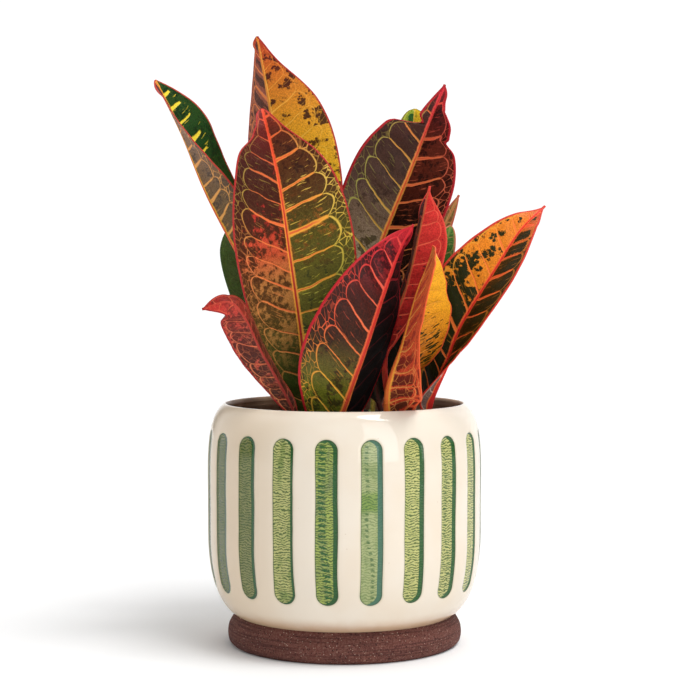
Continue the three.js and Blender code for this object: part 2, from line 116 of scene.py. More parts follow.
STALK_ROWS = 12
FOOT_SHARE = 0.15  # of the blade's width, where the stalk ends
FOOT_GROWTH = 12  # how fast the width then grows with the share of the blade
LEAST_CURL = 1e-4  # keeps a flat blade from dividing by nothing
RUFFLE = 0.2  # height of the fine waves at the margin
RIB_HALF_WIDTH = 1.15
UPPER_RIB_HEIGHT = 0.15
RIGHT_HALF_SHIFT = 3.7  # so that the veins of the two halves don't mirror each other
UNDER_RIB_SHARE = 1.3  # the rib is wider below
UNDER_ROUGHER = 0.16
SCAR_SPACING = 7.5
STRIPE_WAVER = 1.1  # how far a stripe's edge wanders
FRESH_STRIPE = 0  # the stripe that faces the camera, with a fresh green and the clearest rungs
REFLECTING_STRIPE = 1  # the one to its right, tinted bluish by a painted reflection of the softbox
REFLECTING_STRIPE_BAND = 86  # height of the fresh green band across the stripe with the painted bluish reflection
INNER_WALL_SLACK = 0.15
FAR_FROM_STRIPES = 50
SEAM_TOLERANCE = 0.005
SOIL_FACETS = 180
LUMP_SEED = 5
LUMP_WAVES = 90
SQUARE_CM_IN_SQUARE_M = 10000

# Lights, in metres: each dark card has its place in the sky from left (-1) to right (1) and its light

DARK_CARDS = ((-0.45, 0.15), (0.85, 0.3))
KEY_PLACE = (0.6, -0.35, 1.5)
KEY_SPREAD = math.radians(28)
SOFTBOX_PLACE = (0.54, -0.92, 0.74)
SOFTBOX_SIZE = (0.5, 1.25)

# Leaves: where each one grows and how its blade is formed


def leaf(stem, root_height, spine, half_width, widest, turn, fold, curl, wave, **more):
    """One leaf's shape: the stem and the height that it grows from, its spine, its half width in mm and
    where it is widest, and in degrees at base, middle and tip how far it turns, how far each half folds
    up and how far it curls. A wave is a count, a height and a shift. A lobe is a side, a place and the
    share of the width that stays; a nick is a side, a place, a depth and a reach."""
    shape = dict(stem=stem, root_height=root_height, spine=spine, half_width=half_width, widest=widest,
                 turn=turn, fold=fold, curl=curl, wave=wave, tip_taper=BLADE_FULLNESS,
                 share=(1, 1), faces=(0, -1, 0), lobes=(), nicks=())
    shape.update(more)
    return shape


UPWARD = (0, -1, 1)
LEAVES = {
    "front_tall": leaf(
        "left", 113,
        ((-19, -13, 120), (-22.8, -20, 164), (-29, -26, 211), (-35, -24, 251), (-44.3, -14, 291)),
        36, 0.54, (12, 12, 14), ((20, 26, 30), (16, 18, 22)), (4, 6, 6), (2.5, 1.2, 1),
        tip_taper=0.62,
        nicks=((-1, 0.895, 0.28, 0.035), (-1, 0.955, 0.5, 0.045), (1, 0.97, 0.45, 0.12))),
    "back_tall": leaf(
        "back_left", 117,
        ((-21, 10, 134), (-27.7, 16, 188), (-34.2, 14, 243), (-41, 9, 293), (-47.8, 4, 332)),
        35, 0.55, (-10, -24, -30), ((-20, -34, -40), (-8, -12, -18)), (-2, -2, -2), (2, 1, 2), tip_taper=0.8,
        nicks=((1, 0.95, 0.42, 0.12),)),
    "left_tall": leaf(
        "left", 117, ((-30, -3, 131), (-39.9, 2, 169), (-53.9, 4, 204), (-74.8, 2, 245), (-88.3, -4, 278),
                      (-102, -12, 306.5)),
        27, 0.55, (96, 92, 50), ((30, 34, 40), (30, 34, 8)), (2, 2, 2), (2, 1, 1),
        nicks=((1, 0.84, -0.22, 0.1),)),
    "right_tall": leaf(
        "back_left", 113, ((-2, 19, 135), (8.6, 29, 185), (22, 31, 223), (37.4, 27, 261), (46.6, 21, 285),
                           (55.5, 15, 307)),
        33.5, 0.52, (0, 0, 4), ((12, 14, 14), (30, 34, 46)), (4, 6, 6), (2, 1, 2), tip_taper=0.95,
        lobes=((-1, 0.785, 0.42),),
        nicks=((1, 0.765, 0.2, 0.014), (1, 0.79, 0.16, 0.04), (1, 0.92, 0.5, 0.05), (-1, 0.805, 0.5, 0.02))),
    "back_yellow": leaf(
        "back_right", 117, ((17, 34, 136), (27.5, 46, 193), (36.5, 52, 250), (40.5, 52, 297)),
        16, 0.6, (0, -8, -10), ((20, 24, 20), (20, 24, 20)), (4, 6, 6), (2, 1, 2), tip_taper=0.45),
    "front_crimson": leaf(
        "front", 110.5,
        ((-4, -38, 116), (2.5, -48, 139), (10.8, -56, 163), (21.1, -56, 194), (29.1, -48, 215),
         (36.2, -40, 228)),
        32.5, 0.4, (24, 34, 44), ((-14, -14, -16), (-30, -28, -30)), (-4, -6, -6), (2, 1, 1),
        tip_taper=1.05, share=(1, 0.85), nicks=((-1, 0.88, 0.3, 0.26),)),
    "red_upright": leaf(
        "right", 112, ((21.5, -28, 156), (33.8, -27, 197), (40.9, -22, 227), (46, -14, 249.4)),
        18, 0.54, (-34, -36, -36), ((-30, -44, -40), (-4, -8, -10)), (0, -4, -4), (1.5, 0.6, 1),
        tip_taper=1.6, share=(0.7, 0.95)),
    "front_yellow": leaf(
        "front", 111.5, ((21, -44, 119), (22.8, -50, 142), (30.4, -56, 165.5), (37.5, -58, 191.4),
                         (42.8, -54, 205.3), (46.7, -48, 216.7)),
        26, 0.46, (125, 72, 62), ((54, 27, 30), (40, 36, 18)), (4, 6, 4), (1, 0.6, 1)),
    "right_orange": leaf(
        "right", 116, ((42.7, -24, 124), (47.3, -28, 138), (55.4, -34, 157), (62.1, -36, 175),
                       (78.2, -38, 202), (92.9, -32, 224.4), (107.2, -22, 238.5)),
        26, 0.54, (-100, -44, -26), ((30, 24, 20), (44, 24, 24)), (4, 4, 4), (2, 0.8, 2), tip_taper=1.25,
        share=(1, 0.9), nicks=((1, 0.32, 0.3, 0.16),)),
    "low_left": leaf(
        "left", 111.5, ((-25.2, -37, 124.6), (-32.2, -46, 141.6), (-43, -54.5, 162), (-50.5, -59, 178.3),
                        (-59, -61, 187.7), (-73, -60, 184.1)),
        13.5, 0.55, (30, 30, 20), ((-44, -44, -20), (-44, -50, -40)), (0, 0, 0), (1.5, 0.5, 1),
        tip_taper=1.0),
    "left_green": leaf(
        "left", 114, ((-31, 13, 131), (-41.5, 32, 162.5), (-52, 42, 193), (-61, 46, 216), (-66, 48, 230)),
        15, 0.5, (10, 10, 0), ((10, 16, 16), (16, 20, 20)), (4, 4, 4), (1.5, 0.8, 2), share=(1, 0.75)),
    "back_right_narrow": leaf(
        "back_right", 114, ((24, 24, 134), (40.5, 37, 187.4), (54.5, 41, 224.1), (65, 39, 247)),
        5.5, 0.5, (0, 0, 10), ((16, 20, 16), (20, 24, 30)), (4, 4, 4), (1.5, 0.8, 2)),
    "right_green": leaf(
        "right", 117.5, ((38.9, 0, 132.7), (46.5, -1, 176.8), (52, -4, 209.8), (57.9, -6, 228.4)),
        7.5, 0.6, (0, 10, 20), ((16, 20, 16), (20, 24, 30)), (4, 4, 4), (1, 0.4, 2), tip_taper=0.5),
    "centre_dark": leaf(
        "right", 114.5, ((19, -3, 131), (16.5, 2, 160), (19, 4, 190), (23, 4, 214)),
        18, 0.5, (0, 0, 0), ((14, 18, 16), (14, 18, 16)), (4, 4, 4), (1.5, 0.6, 2)),
    "rear_tall": leaf(
        "back_left", 118.5, ((-16, 34, 134), (-22, 60, 182), (-26, 80, 226), (-25, 92, 262)),
        30, 0.54, (176, 180, 186), ((14, 18, 20), (14, 20, 24)), (4, 6, 6), (2, 1, 2), faces=UPWARD),
    "rear_middle": leaf(
        "back_right", 112.5, ((9, 44, 128), (12, 70, 168), (18, 93, 204), (25, 113, 230)),
        26, 0.54, (0, -4, -8), ((16, 20, 16), (16, 18, 16)), (4, 6, 6), (2, 1, 2), faces=UPWARD),
    "rear_right": leaf(
        "back_right", 118.5, ((29, 33, 137), (40, 46, 170), (48, 60, 202), (52, 72, 229)),
        19, 0.54, (166, 160, 156), ((16, 20, 16), (16, 16, 16)), (4, 6, 6), (2, 0.8, 2), faces=UPWARD),
    "rear_low_left": leaf(
        "back_left", 112.5, ((-19, 40, 126), (-26, 62, 147), (-31, 86, 161), (-33, 109, 163)),
        17, 0.54, (0, 6, 10), ((12, 10, 6), (12, 10, 6)), (-2, -6, -6), (2, 0.8, 2), faces=UPWARD),
    "rear_low_right": leaf(
        "back_right", 110.8, ((32, 38, 129), (42, 58, 149), (51, 80, 160), (57, 101, 158)),
        17, 0.54, (0, -6, -10), ((12, 10, 6), (12, 10, 6)), (-2, -6, -6), (2, 0.8, 2), faces=UPWARD),
}

# Leaf colours, from the foot of the blade (0) to its tip (1)


def half(ground, patch, amount, vein, **more):
    """How one half of a blade is coloured. Patches of the kind Islands, Dots, Smudges, Streaks or Mottle
    cover a given amount of the ground, and edge more of it near the margin. Veins are line mm wide to each
    side, and arc is the colour of their loops and of the net."""
    values = dict(ground=ground, patch=patch, amount=amount, vein=vein, arc=vein, kind="Mottle", soft=0.1,
                  edge=0.0, line=0.7, core=0.4, reach=1.0, loops=0.9, net=0.6, inner=0.05, dash=0.35)
    values.update(more)
    return values


def look(slot, left, right, under, rib, border, rim, **more):
    """A blade's two halves and its underside, its rib with paler borders, its margin and its veins' course.
    Pairs hold the left and the right half's value."""
    values = dict(slot=slot, left=left, right=right, under=under, rib=rib, border=border, rim=rim,
                  core=(228, 80, 54), spacing=13, spread=1.0, rise=(0.4, 0.4), bend=0.12, loop=0.76,
                  rib_width=0.8, border_width=0.7, rim_width=0.8, cell=3.6, seed=0.0, matt=(0.0, 0.0),
                  spots=())
    values.update(more)
    return values


def even(start, end=None):
    """A ramp of one colour or number, or of two."""
    return {0: start, 1: start if end is None else end}


GREY_UNDER = half({0: (92, 84, 38), 0.4: (110, 92, 54), 0.7: (130, 100, 76), 1: (150, 104, 82)},
                  even((80, 70, 40), (108, 86, 78)), even(0.3), even((214, 170, 76), (224, 150, 94)),
                  line=0.55, core=0, net=0.5, inner=0.1)
DULL_UNDER = half(even((132, 112, 104), (136, 98, 88)), even((104, 88, 82), (118, 72, 68)), even(0.35),
                  even((206, 186, 166), (208, 148, 124)), line=0.5, core=0, net=0.6, inner=0.15)
GREEN_UNDER = half(even((92, 110, 62), (98, 106, 60)), even((76, 96, 54), (110, 84, 58)), even(0.35),
                   even((168, 172, 98), (176, 150, 90)), line=0.45, core=0, net=0.3)
DEEP_GREEN = half(even((112, 128, 86), (80, 110, 54)), even((84, 104, 62), (92, 124, 62)), even(0.4),
                  even((84, 112, 58), (96, 128, 66)), line=0.3, core=0, net=0.15, dash=0.05)
BRIGHT_GREEN = half(even((50, 92, 40), (74, 126, 50)), even((40, 80, 36), (94, 140, 56)), even(0.4),
                    even((120, 150, 76), (160, 140, 80)), line=0.35, core=0, net=0.2)
OLIVE = half(even((108, 102, 54), (136, 104, 56)), even((84, 104, 48), (150, 88, 58)), even(0.4),
             even((186, 160, 86), (200, 120, 76)), line=0.4, core=0)
SHADED = half(even((14, 18, 10), (26, 28, 15)), even((20, 15, 12), (34, 22, 17)), even(0.4),
              even((40, 36, 20), (60, 44, 26)), line=0.4, core=0, net=0.2)
DARK_RED = half(even((60, 32, 26), (92, 30, 32)), even((46, 24, 22), (64, 22, 26)), even(0.4),
                even((160, 60, 52), (160, 52, 52)))

LOOKS = {
    "front_tall": look(
        "leaf_purple",
        half({0: (54, 64, 22), 0.16: (60, 76, 28), 0.26: (84, 84, 38), 0.38: (98, 68, 36),
              0.5: (84, 44, 26), 0.62: (76, 38, 26), 0.8: (72, 34, 27), 1: (124, 34, 32)},
             {0: (62, 78, 30), 0.18: (88, 92, 42), 0.3: (182, 132, 70), 0.44: (192, 126, 68),
              0.52: (208, 86, 54), 0.62: (208, 60, 50), 0.7: (180, 48, 44), 1: (110, 40, 34)},
             {0: 0.2, 0.16: 0.36, 0.28: 0.56, 0.42: 0.56, 0.5: 0.5, 0.6: 0.46, 0.68: 0.3,
              0.74: 0.1},
             {0: (150, 120, 60), 0.2: (220, 146, 78), 0.4: (240, 134, 72), 0.6: (238, 126, 66),
              0.75: (212, 112, 58), 0.88: (190, 90, 52), 1: (216, 74, 54)},
             arc={0: (120, 110, 50), 0.3: (206, 138, 72), 0.5: (226, 126, 74), 0.7: (176, 142, 64),
                  0.85: (140, 112, 58), 1: (204, 70, 54)},
             soft=0.15, edge=-0.3, line=0.52, core=0.5, net=0.5, dash=0.45),
        half({0: (84, 90, 26), 0.3: (108, 108, 30), 0.46: (104, 100, 30), 0.6: (88, 78, 26),
              0.72: (88, 54, 24), 0.88: (94, 44, 26), 1: (130, 44, 34)},
             {0: (58, 68, 20), 0.45: (70, 72, 20), 0.6: (158, 96, 34), 0.74: (60, 32, 18),
              1: (74, 30, 22)},
             even(0.35),
             {0: (206, 156, 54), 0.3: (250, 198, 64), 0.5: (252, 180, 62), 0.7: (250, 168, 66),
              0.85: (242, 134, 58), 1: (222, 82, 52)},
             arc={0: (150, 152, 52), 0.35: (196, 204, 76), 0.55: (236, 198, 76), 0.75: (232, 188, 86),
                  0.9: (210, 116, 60), 1: (212, 72, 52)},
             line=0.85, core=0.8, net=0.95, dash=0.75),
        GREY_UNDER,
        {0: (168, 66, 42), 0.35: (184, 56, 46), 0.6: (198, 50, 44), 0.8: (230, 70, 48),
         1: (232, 74, 52)},
        {0: (206, 130, 64), 0.3: (246, 172, 66), 0.6: (246, 150, 60), 0.8: (236, 100, 54),
         1: (228, 84, 52)},
        (176, 44, 40), spacing=11.8, spread=1.16, rise=(0.38, 0.2), rib_width=0.95, border_width=1.0,
        seed=0.3),
    "back_tall": look(
        "leaf_amber",
        half({0: (206, 138, 104), 0.5: (210, 134, 106), 0.88: (172, 96, 76), 1: (214, 72, 52)},
             even((114, 80, 64), (102, 62, 54)), even(0.42), even((246, 164, 96), (244, 136, 76)),
             kind="Islands", line=0.75, core=0, net=0.7, inner=0.1),
        half({0: (255, 214, 54), 0.45: (255, 210, 50), 0.66: (252, 184, 46), 0.78: (234, 146, 42),
              0.9: (216, 106, 38), 1: (200, 52, 38)},
             {0: (84, 76, 20), 0.55: (104, 70, 22), 0.8: (84, 40, 18), 1: (112, 34, 26)},
             {0: 0.26, 0.5: 0.28, 0.7: 0.3, 0.84: 0.4, 0.95: 0.58, 1: 0.3},
             {0: (255, 220, 76), 0.6: (255, 208, 76), 0.85: (246, 156, 64), 1: (230, 92, 50)},
             kind="Smudges", soft=0.06, edge=0.36, line=0.42, core=0, net=0.35, loops=0.6, dash=0.2),
        DULL_UNDER, {0: (250, 184, 72), 0.6: (248, 172, 68), 1: (238, 110, 52)}, (252, 194, 82),
        (172, 48, 42), spacing=12, rise=(0.5, 0.6), cell=4.2, border_width=0.5,
        matt=(0.45, 0.0), seed=1.7),
    "left_tall": look(
        "leaf_green",
        DARK_RED,
        half({0: (86, 44, 30), 0.34: (132, 60, 38), 0.42: (96, 84, 40), 0.52: (58, 92, 38),
              0.75: (34, 74, 32), 1: (52, 80, 34)},
             {0: (110, 38, 28), 0.4: (164, 62, 44), 0.5: (70, 80, 36), 0.7: (30, 60, 28),
              1: (24, 54, 26)},
             even(0.4), {0: (210, 120, 50), 0.42: (242, 216, 60), 1: (242, 218, 66)},
             line=0.95, core=0, reach=0.86, loops=0, net=0, inner=0, dash=0.5),
        half({0: (78, 80, 32), 0.35: (98, 88, 48), 0.6: (120, 94, 64), 1: (160, 112, 84)},
             even((64, 60, 32), (104, 80, 68)), even(0.35), even((210, 166, 72), (236, 154, 92)),
             line=0.7, core=0, net=0.85, inner=0.0),
        (216, 96, 54), (242, 176, 60), (190, 66, 54), spacing=10.3, rise=(0.25, 0.12), loop=0.66, cell=6.5,
        seed=2.9),
    "right_tall": look(
        "leaf_purple",
        # The pale grey-beige from 0.2 to 0.42 along the left half is a painted sheen.
        half({0: (104, 116, 50), 0.2: (170, 164, 112), 0.3: (198, 180, 146), 0.42: (138, 114, 90),
              0.52: (92, 66, 54), 0.66: (74, 46, 37), 0.86: (80, 39, 33), 1: (112, 30, 34)},
             {0: (74, 84, 36), 0.3: (104, 94, 60), 0.5: (76, 54, 44), 0.7: (60, 36, 29),
              1: (62, 30, 27)}, {0: 0.34, 0.5: 0.36, 1: 0.3},
             {0: (236, 204, 84), 0.3: (208, 194, 88), 0.6: (206, 174, 80), 0.8: (232, 140, 70),
              1: (222, 62, 62)},
             arc={0: (170, 182, 82), 0.5: (178, 174, 82), 0.8: (176, 144, 72), 1: (212, 62, 62)},
             line=0.55, core=0.5, net=0.4, inner=0, dash=0.3),
        half({0: (36, 26, 12), 0.46: (48, 18, 10), 0.6: (100, 40, 27), 0.7: (114, 48, 33),
              0.84: (96, 32, 28), 1: (124, 26, 34)},
             {0: (22, 16, 8), 0.46: (26, 10, 6), 0.6: (56, 24, 17), 1: (66, 20, 20)}, even(0.4),
             {0: (248, 168, 76), 0.5: (250, 142, 80), 0.8: (242, 106, 74), 1: (218, 52, 64)},
             arc={0: (234, 174, 84), 0.5: (240, 126, 86), 1: (216, 56, 66)}, line=0.75, core=0.6,
             net=0.9, dash=0.5),
        GREY_UNDER,
        {0: (222, 96, 48), 0.6: (232, 98, 56), 0.78: (228, 62, 62), 1: (224, 44, 66)},
        {0: (244, 186, 74), 0.6: (242, 156, 72), 0.8: (230, 88, 72), 1: (222, 52, 66)},
        (176, 34, 42), spacing=14.5, rise=(0.5, 0.45), loop=0.74, rib_width=1.0, border_width=1.0,
        rim_width=1.4, cell=4.4, seed=4.1),
    "back_yellow": look(
        "leaf_amber",
        half(even((240, 200, 50), (150, 176, 52)), even((80, 120, 32), (34, 96, 28)), even(0.42),
             even((232, 200, 70), (190, 196, 70)), kind="Islands", net=0.2, dash=0),
        half(even((240, 190, 48), (255, 216, 50)), even((170, 160, 40), (190, 176, 44)), even(0.3, 0.12),
             even((236, 200, 70), (240, 196, 70)), kind="Islands", net=0.2, dash=0),
        GREEN_UNDER, (236, 190, 70), (244, 206, 70), (140, 130, 56), spacing=10, cell=3.2, rib_width=0.4,
        seed=5.2),
    "front_crimson": look(
        "leaf_crimson",
        half({0: (92, 104, 26), 0.18: (104, 110, 34), 0.3: (100, 92, 40), 0.42: (62, 36, 22),
              0.56: (70, 27, 22), 0.7: (136, 31, 37), 0.84: (180, 37, 47), 1: (196, 38, 50)},
             {0: (60, 70, 24), 0.28: (66, 52, 28), 0.42: (54, 30, 20), 0.6: (56, 22, 20),
              0.7: (70, 16, 22), 0.84: (86, 18, 26), 1: (150, 30, 38)},
             {0: 0.38, 0.3: 0.4, 0.5: 0.34, 0.66: 0.5, 0.8: 0.46, 1: 0.3},
             {0: (236, 190, 70), 0.24: (250, 190, 64), 0.38: (240, 132, 72), 0.6: (230, 100, 78),
              0.78: (224, 70, 66), 1: (212, 48, 58)},
             arc={0: (194, 166, 56), 0.3: (236, 156, 60), 0.45: (226, 90, 56), 0.7: (204, 48, 52),
                  1: (206, 44, 54)},
             edge=0.12, line=0.54, core=0.45, net=0.9, dash=0.35),
        # The right half is painted near black, as shade.
        half({0: (8, 7, 6), 0.45: (12, 7, 7), 0.65: (44, 11, 14), 0.85: (140, 22, 34),
              1: (180, 30, 44)},
             {0: (12, 10, 7), 0.6: (14, 8, 7), 1: (70, 15, 22)}, even(0.45),
             {0: (26, 15, 12), 0.5: (84, 20, 24), 1: (196, 42, 56)}, line=0.6, core=0, net=0.3, dash=0),
        DULL_UNDER, {0: (206, 88, 48), 0.3: (202, 62, 48), 1: (206, 36, 52)},
        {0: (240, 160, 66), 0.3: (236, 116, 60), 0.7: (216, 62, 54), 1: (206, 44, 54)}, (184, 36, 44),
        spacing=12.5, rise=(0.6, 0.6), loop=0.7, rib_width=0.9, border_width=0.9, rim_width=1.3, cell=3.4,
        matt=(0.0, 0.5), seed=6.6),
    "red_upright": look(
        "leaf_crimson",
        # The left half is painted dark red, as shade.
        DARK_RED,
        half({0: (134, 24, 20), 0.35: (194, 40, 36), 0.7: (218, 54, 49), 1: (222, 49, 45)},
             even((70, 18, 20), (140, 28, 34)), {0: 0.55, 0.45: 0.4, 0.7: 0.24, 1: 0.2},
             even((236, 104, 72), (228, 84, 66)), kind="Dots", line=0.38, core=0, net=0.3, dash=0.3),
        DULL_UNDER, (170, 94, 54), (214, 72, 50), (216, 66, 52), spacing=10, rise=(0.4, 0.3), rib_width=0.6,
        cell=3.0, matt=(0.0, 0.2), seed=7.4),
    "front_yellow": look(
        "leaf_amber",
        half(even((190, 70, 50), (230, 150, 70)), even((120, 60, 40), (200, 110, 60)), even(0.3, 0.2),
             even((236, 150, 70), (236, 170, 80))),
        half({0: (126, 64, 16), 0.3: (168, 90, 20), 0.44: (206, 124, 26), 0.58: (242, 166, 38),
              1: (252, 188, 56)},
             even((36, 42, 10), (60, 58, 14)), {0: 0.8, 0.3: 0.66, 0.44: 0.54, 0.56: 0.24, 0.7: 0},
             even((238, 150, 50), (246, 172, 58)), kind="Streaks", soft=0.04, edge=-0.3, line=0.25, core=0,
             loops=0.3, net=0, inner=0, dash=0),
        half({0: (220, 72, 48), 0.4: (236, 88, 56), 0.7: (240, 116, 62), 1: (250, 166, 78)},
             {0: (92, 58, 34), 0.3: (130, 48, 38), 0.5: (204, 72, 56), 1: (222, 92, 62)},
             {0: 0.72, 0.3: 0.6, 0.45: 0.3, 1: 0.1}, even((250, 166, 86), (248, 160, 90)),
             arc={0: (248, 158, 90), 0.4: (246, 146, 82), 0.5: (222, 88, 62), 1: (236, 116, 72)},
             kind="Islands", line=0.42, core=0, net=0.8, inner=0.7, dash=0),
        (224, 112, 52), (244, 168, 62), (230, 96, 52), spacing=9.5, rise=(0.5, 0.6), cell=5.2, seed=8.8),
    "right_orange": look(
        "leaf_amber",
        half({0: (196, 124, 34), 0.5: (230, 144, 34), 0.68: (244, 144, 36), 0.88: (240, 132, 40),
              1: (210, 78, 44)},
             even((30, 36, 8), (46, 46, 12)),
             {0: 1.7, 0.46: 1.5, 0.56: 0.9, 0.64: 0.52, 0.74: 0.4, 0.92: 0.4, 1: 0.1},
             {0: (236, 134, 60), 0.5: (246, 132, 50), 0.8: (248, 140, 50), 1: (226, 88, 46)},
             arc=even((206, 150, 48), (236, 150, 50)), kind="Smudges", soft=0.05, edge=0.22, line=0.72,
             core=0.5, net=0.3, inner=0.0, dash=0.3),
        half({0: (190, 100, 40), 0.8: (214, 114, 44), 1: (208, 68, 44)},
             even((32, 38, 10), (56, 46, 16)),
             {0: 1.6, 0.68: 1.4, 0.8: 0.85, 0.9: 0.5, 1: 0.2},
             {0: (238, 116, 58), 0.6: (246, 122, 54), 1: (226, 82, 48)},
             arc=even((196, 156, 56), (232, 130, 54)), kind="Islands", soft=0.04, line=0.8, core=0.7,
             loops=0.5, net=0.2, inner=0.0, dash=0.4),
        DULL_UNDER, {0: (200, 44, 40), 1: (226, 60, 46)}, (238, 108, 50), (204, 60, 46), spacing=12.5,
        spread=0.92, rise=(0.7, 0.5), loop=0.84, rib_width=1.3, border_width=0.7, rim_width=1.1, cell=3.4,
        seed=9.5),
    "low_left": look(
        "leaf_crimson",
        half({0: (66, 38, 28), 0.4: (84, 42, 34), 0.75: (132, 48, 42), 1: (204, 52, 48)},
             {0: (72, 44, 34), 0.4: (188, 76, 62), 1: (206, 58, 52)},
             {0: 0.15, 0.5: 0.36, 0.8: 0.5, 1: 0.6},
             {0: (220, 138, 84), 0.5: (218, 112, 78), 1: (216, 84, 62)}, edge=0.2, line=0.3, net=0.6,
             inner=0.35),
        half({0: (66, 36, 27), 0.4: (74, 32, 28), 0.75: (116, 38, 36), 1: (196, 48, 44)},
             {0: (66, 38, 30), 0.4: (170, 58, 48), 1: (120, 38, 34)},
             {0: 0.15, 0.5: 0.3, 0.8: 0.4, 1: 0.5},
             even((176, 100, 66), (200, 88, 64)), edge=0.2, line=0.24, net=0.5, inner=0.3),
        DULL_UNDER, {0: (120, 44, 38), 1: (190, 60, 50)}, {0: (128, 54, 44), 1: (196, 80, 58)},
        (160, 42, 40), rib_width=0.4, border_width=0.25, spacing=8.5, rim_width=0.7, cell=3.2, seed=10.9),
    "left_green": look(
        "leaf_green", DEEP_GREEN, DEEP_GREEN, GREEN_UNDER, (82, 112, 58), (70, 104, 52), (76, 104, 54),
        spacing=11, matt=(-0.08, -0.08), seed=11.3, spots=((0.62, 0.35, 0.05, 0.3, (216, 206, 80)),)),
    "back_right_narrow": look(
        "leaf_green", OLIVE, OLIVE, GREEN_UNDER, (200, 120, 76), (186, 150, 86), (190, 94, 72), spacing=9,
        cell=3, seed=12.1),
    "right_green": look(
        "leaf_green", BRIGHT_GREEN, BRIGHT_GREEN, GREEN_UNDER, (130, 150, 76), (120, 150, 72),
        (206, 126, 96), spacing=9, cell=3, seed=13.8),
    "centre_dark": look(
        "leaf_green", SHADED, SHADED, GREEN_UNDER, (70, 34, 26), (50, 38, 24), (70, 32, 28), spacing=11,
        matt=(0.3, 0.3), seed=14.4),
}
# rear_tall takes right_tall's look, with the painted sheen on its left half too.
LOOKS["rear_tall"] = dict(LOOKS["right_tall"], seed=15.7, spacing=13)
LOOKS["rear_middle"] = dict(LOOKS["right_orange"], seed=16.2, spacing=11.5)
LOOKS["rear_right"] = dict(LOOKS["front_crimson"], seed=17.9, spacing=11, matt=(0.0, 0.0),
                           right=LOOKS["front_crimson"]["left"])
LOOKS["rear_low_left"] = dict(LOOKS["left_green"], seed=18.3, spots=(), left=LOOKS["front_tall"]["right"],
                              right=LOOKS["front_tall"]["right"], rib=(204, 80, 56), border=(238, 160, 72),
                              rim=(190, 66, 58))
LOOKS["rear_low_right"] = dict(LOOKS["back_tall"], seed=19.6, left=LOOKS["back_tall"]["right"])


# Settings


def colour_setting(name, description, *shade):
    return FloatVectorProperty(name=name, description=description, default=srgb(*shade), min=0, max=1,
                               subtype="COLOR")


def length_setting(name, description, metres):
    return FloatProperty(name=name, description=description, default=metres, subtype="DISTANCE",
                         unit="LENGTH")


def count_setting(name, description, default, least):
    return IntProperty(name=name, description=description, default=default, min=least)


def strength_setting(name, description, default, unit="NONE"):
    return FloatProperty(name=name, description=description, default=default, min=0, unit=unit)


class CrotonPotSettings(bpy.types.PropertyGroup):
    """The glazed pot and its clay foot."""

    stripes: count_setting("Stripes", "Pressed stripes round the pot", 20, 1)
    stripe_width: length_setting("Stripe width", "Width of a stripe", 11.6 * MM)
    stripe_depth: length_setting("Stripe depth", "How deep a stripe is pressed in", 0.8 * MM)
    facets: count_setting("Facets", "Steps round the turned pieces", 400, 24)
    glaze: colour_setting("Glaze", "Colour of the cream glaze", 228, 217, 201)
    stripe_light: colour_setting("Light green", "Thin green glaze in a stripe", 182, 182, 112)
    stripe_green: colour_setting("Green", "Main green glaze in a stripe", 124, 142, 70)
    stripe_dark: colour_setting("Dark green", "Pooled glaze at a stripe's edge", 2, 78, 26)
    inside: colour_setting("Inside", "Colour of the inner wall", 176, 142, 116)
    clay: colour_setting("Clay", "Colour of the bare foot", 104, 60, 52)


class CrotonPlantSettings(bpy.types.PropertyGroup):
    """The leaves, stems and compost."""

    rows: count_setting("Rows", "Steps along a blade", 120, 12)
    columns: count_setting("Columns", "Steps across each half of a blade", 26, 6)
    quilting: length_setting("Quilting", "How far a blade swells between its veins", 0.7 * MM)
    roughness: FloatProperty(name="Leaf roughness", description="Roughness of the waxy upper face",
                             default=0.36, min=0, max=1, subtype="FACTOR")
    crumbs: count_setting("Crumbs", "Crumbs per square centimetre of compost", 9, 0)
    bark: colour_setting("Bark", "Colour of the stems", 112, 88, 64)
    compost: colour_setting("Compost", "Colour of the compost", 52, 38, 30)
    plastic: colour_setting("Plastic", "Colour of the grow pot", 38, 36, 35)


class CrotonStageSettings(bpy.types.PropertyGroup):
    """The floor, the lights and the camera."""

    backdrop: colour_setting("Backdrop", "Colour of the floor", 240, 240, 240)
    floor_reach: length_setting("Floor", "How far the floor reaches each way", 9)
    key_strength: strength_setting("Key light", "Strength of the key light on the right", 1.8)
    softbox_power: strength_setting("Softbox", "Power of the softbox that the glaze reflects", 5.3, "POWER")
    front_sky: strength_setting("Front sky", "Strength of the even light in front", 0.74)
    back_sky: strength_setting("Back sky", "Strength of the even light behind and above", 1.08)
    camera_place: FloatVectorProperty(name="Camera", description="Where the camera stands",
                                      default=(0.003, -0.963, 0.20335), subtype="TRANSLATION",
                                      unit="LENGTH")
    camera_tilt: FloatProperty(name="Tilt", description="How far the camera looks down",
                               default=math.radians(2.55), subtype="ANGLE", unit="ROTATION")
    focal_length: FloatProperty(name="Focal length", description="Focal length on a 36 mm wide sensor",
                                default=90.33, unit="CAMERA")


# Node helpers, for materials and geometry alike


class Value:
    """A node's output that takes part in sums and comparisons as a number does."""

    def __init__(self, nodes, socket):
        self.nodes = nodes
        self.socket = socket

    def __add__(self, other):
        return self.nodes.math("ADD", self, other)

    def __sub__(self, other):
        return self.nodes.math("SUBTRACT", self, other)

    def __rsub__(self, other):
        return self.nodes.math("SUBTRACT", other, self)

    def __mul__(self, other):
        return self.nodes.math("MULTIPLY", self, other)

    def __truediv__(self, other):
        return self.nodes.math("DIVIDE", self, other)

    def __lt__(self, other):
        return self.nodes.math("LESS_THAN", self, other)

    def __gt__(self, other):
        return self.nodes.math("GREATER_THAN", self, other)

    def __abs__(self):
        return self.nodes.math("ABSOLUTE", self)

    __radd__ = __add__
    __rmul__ = __mul__


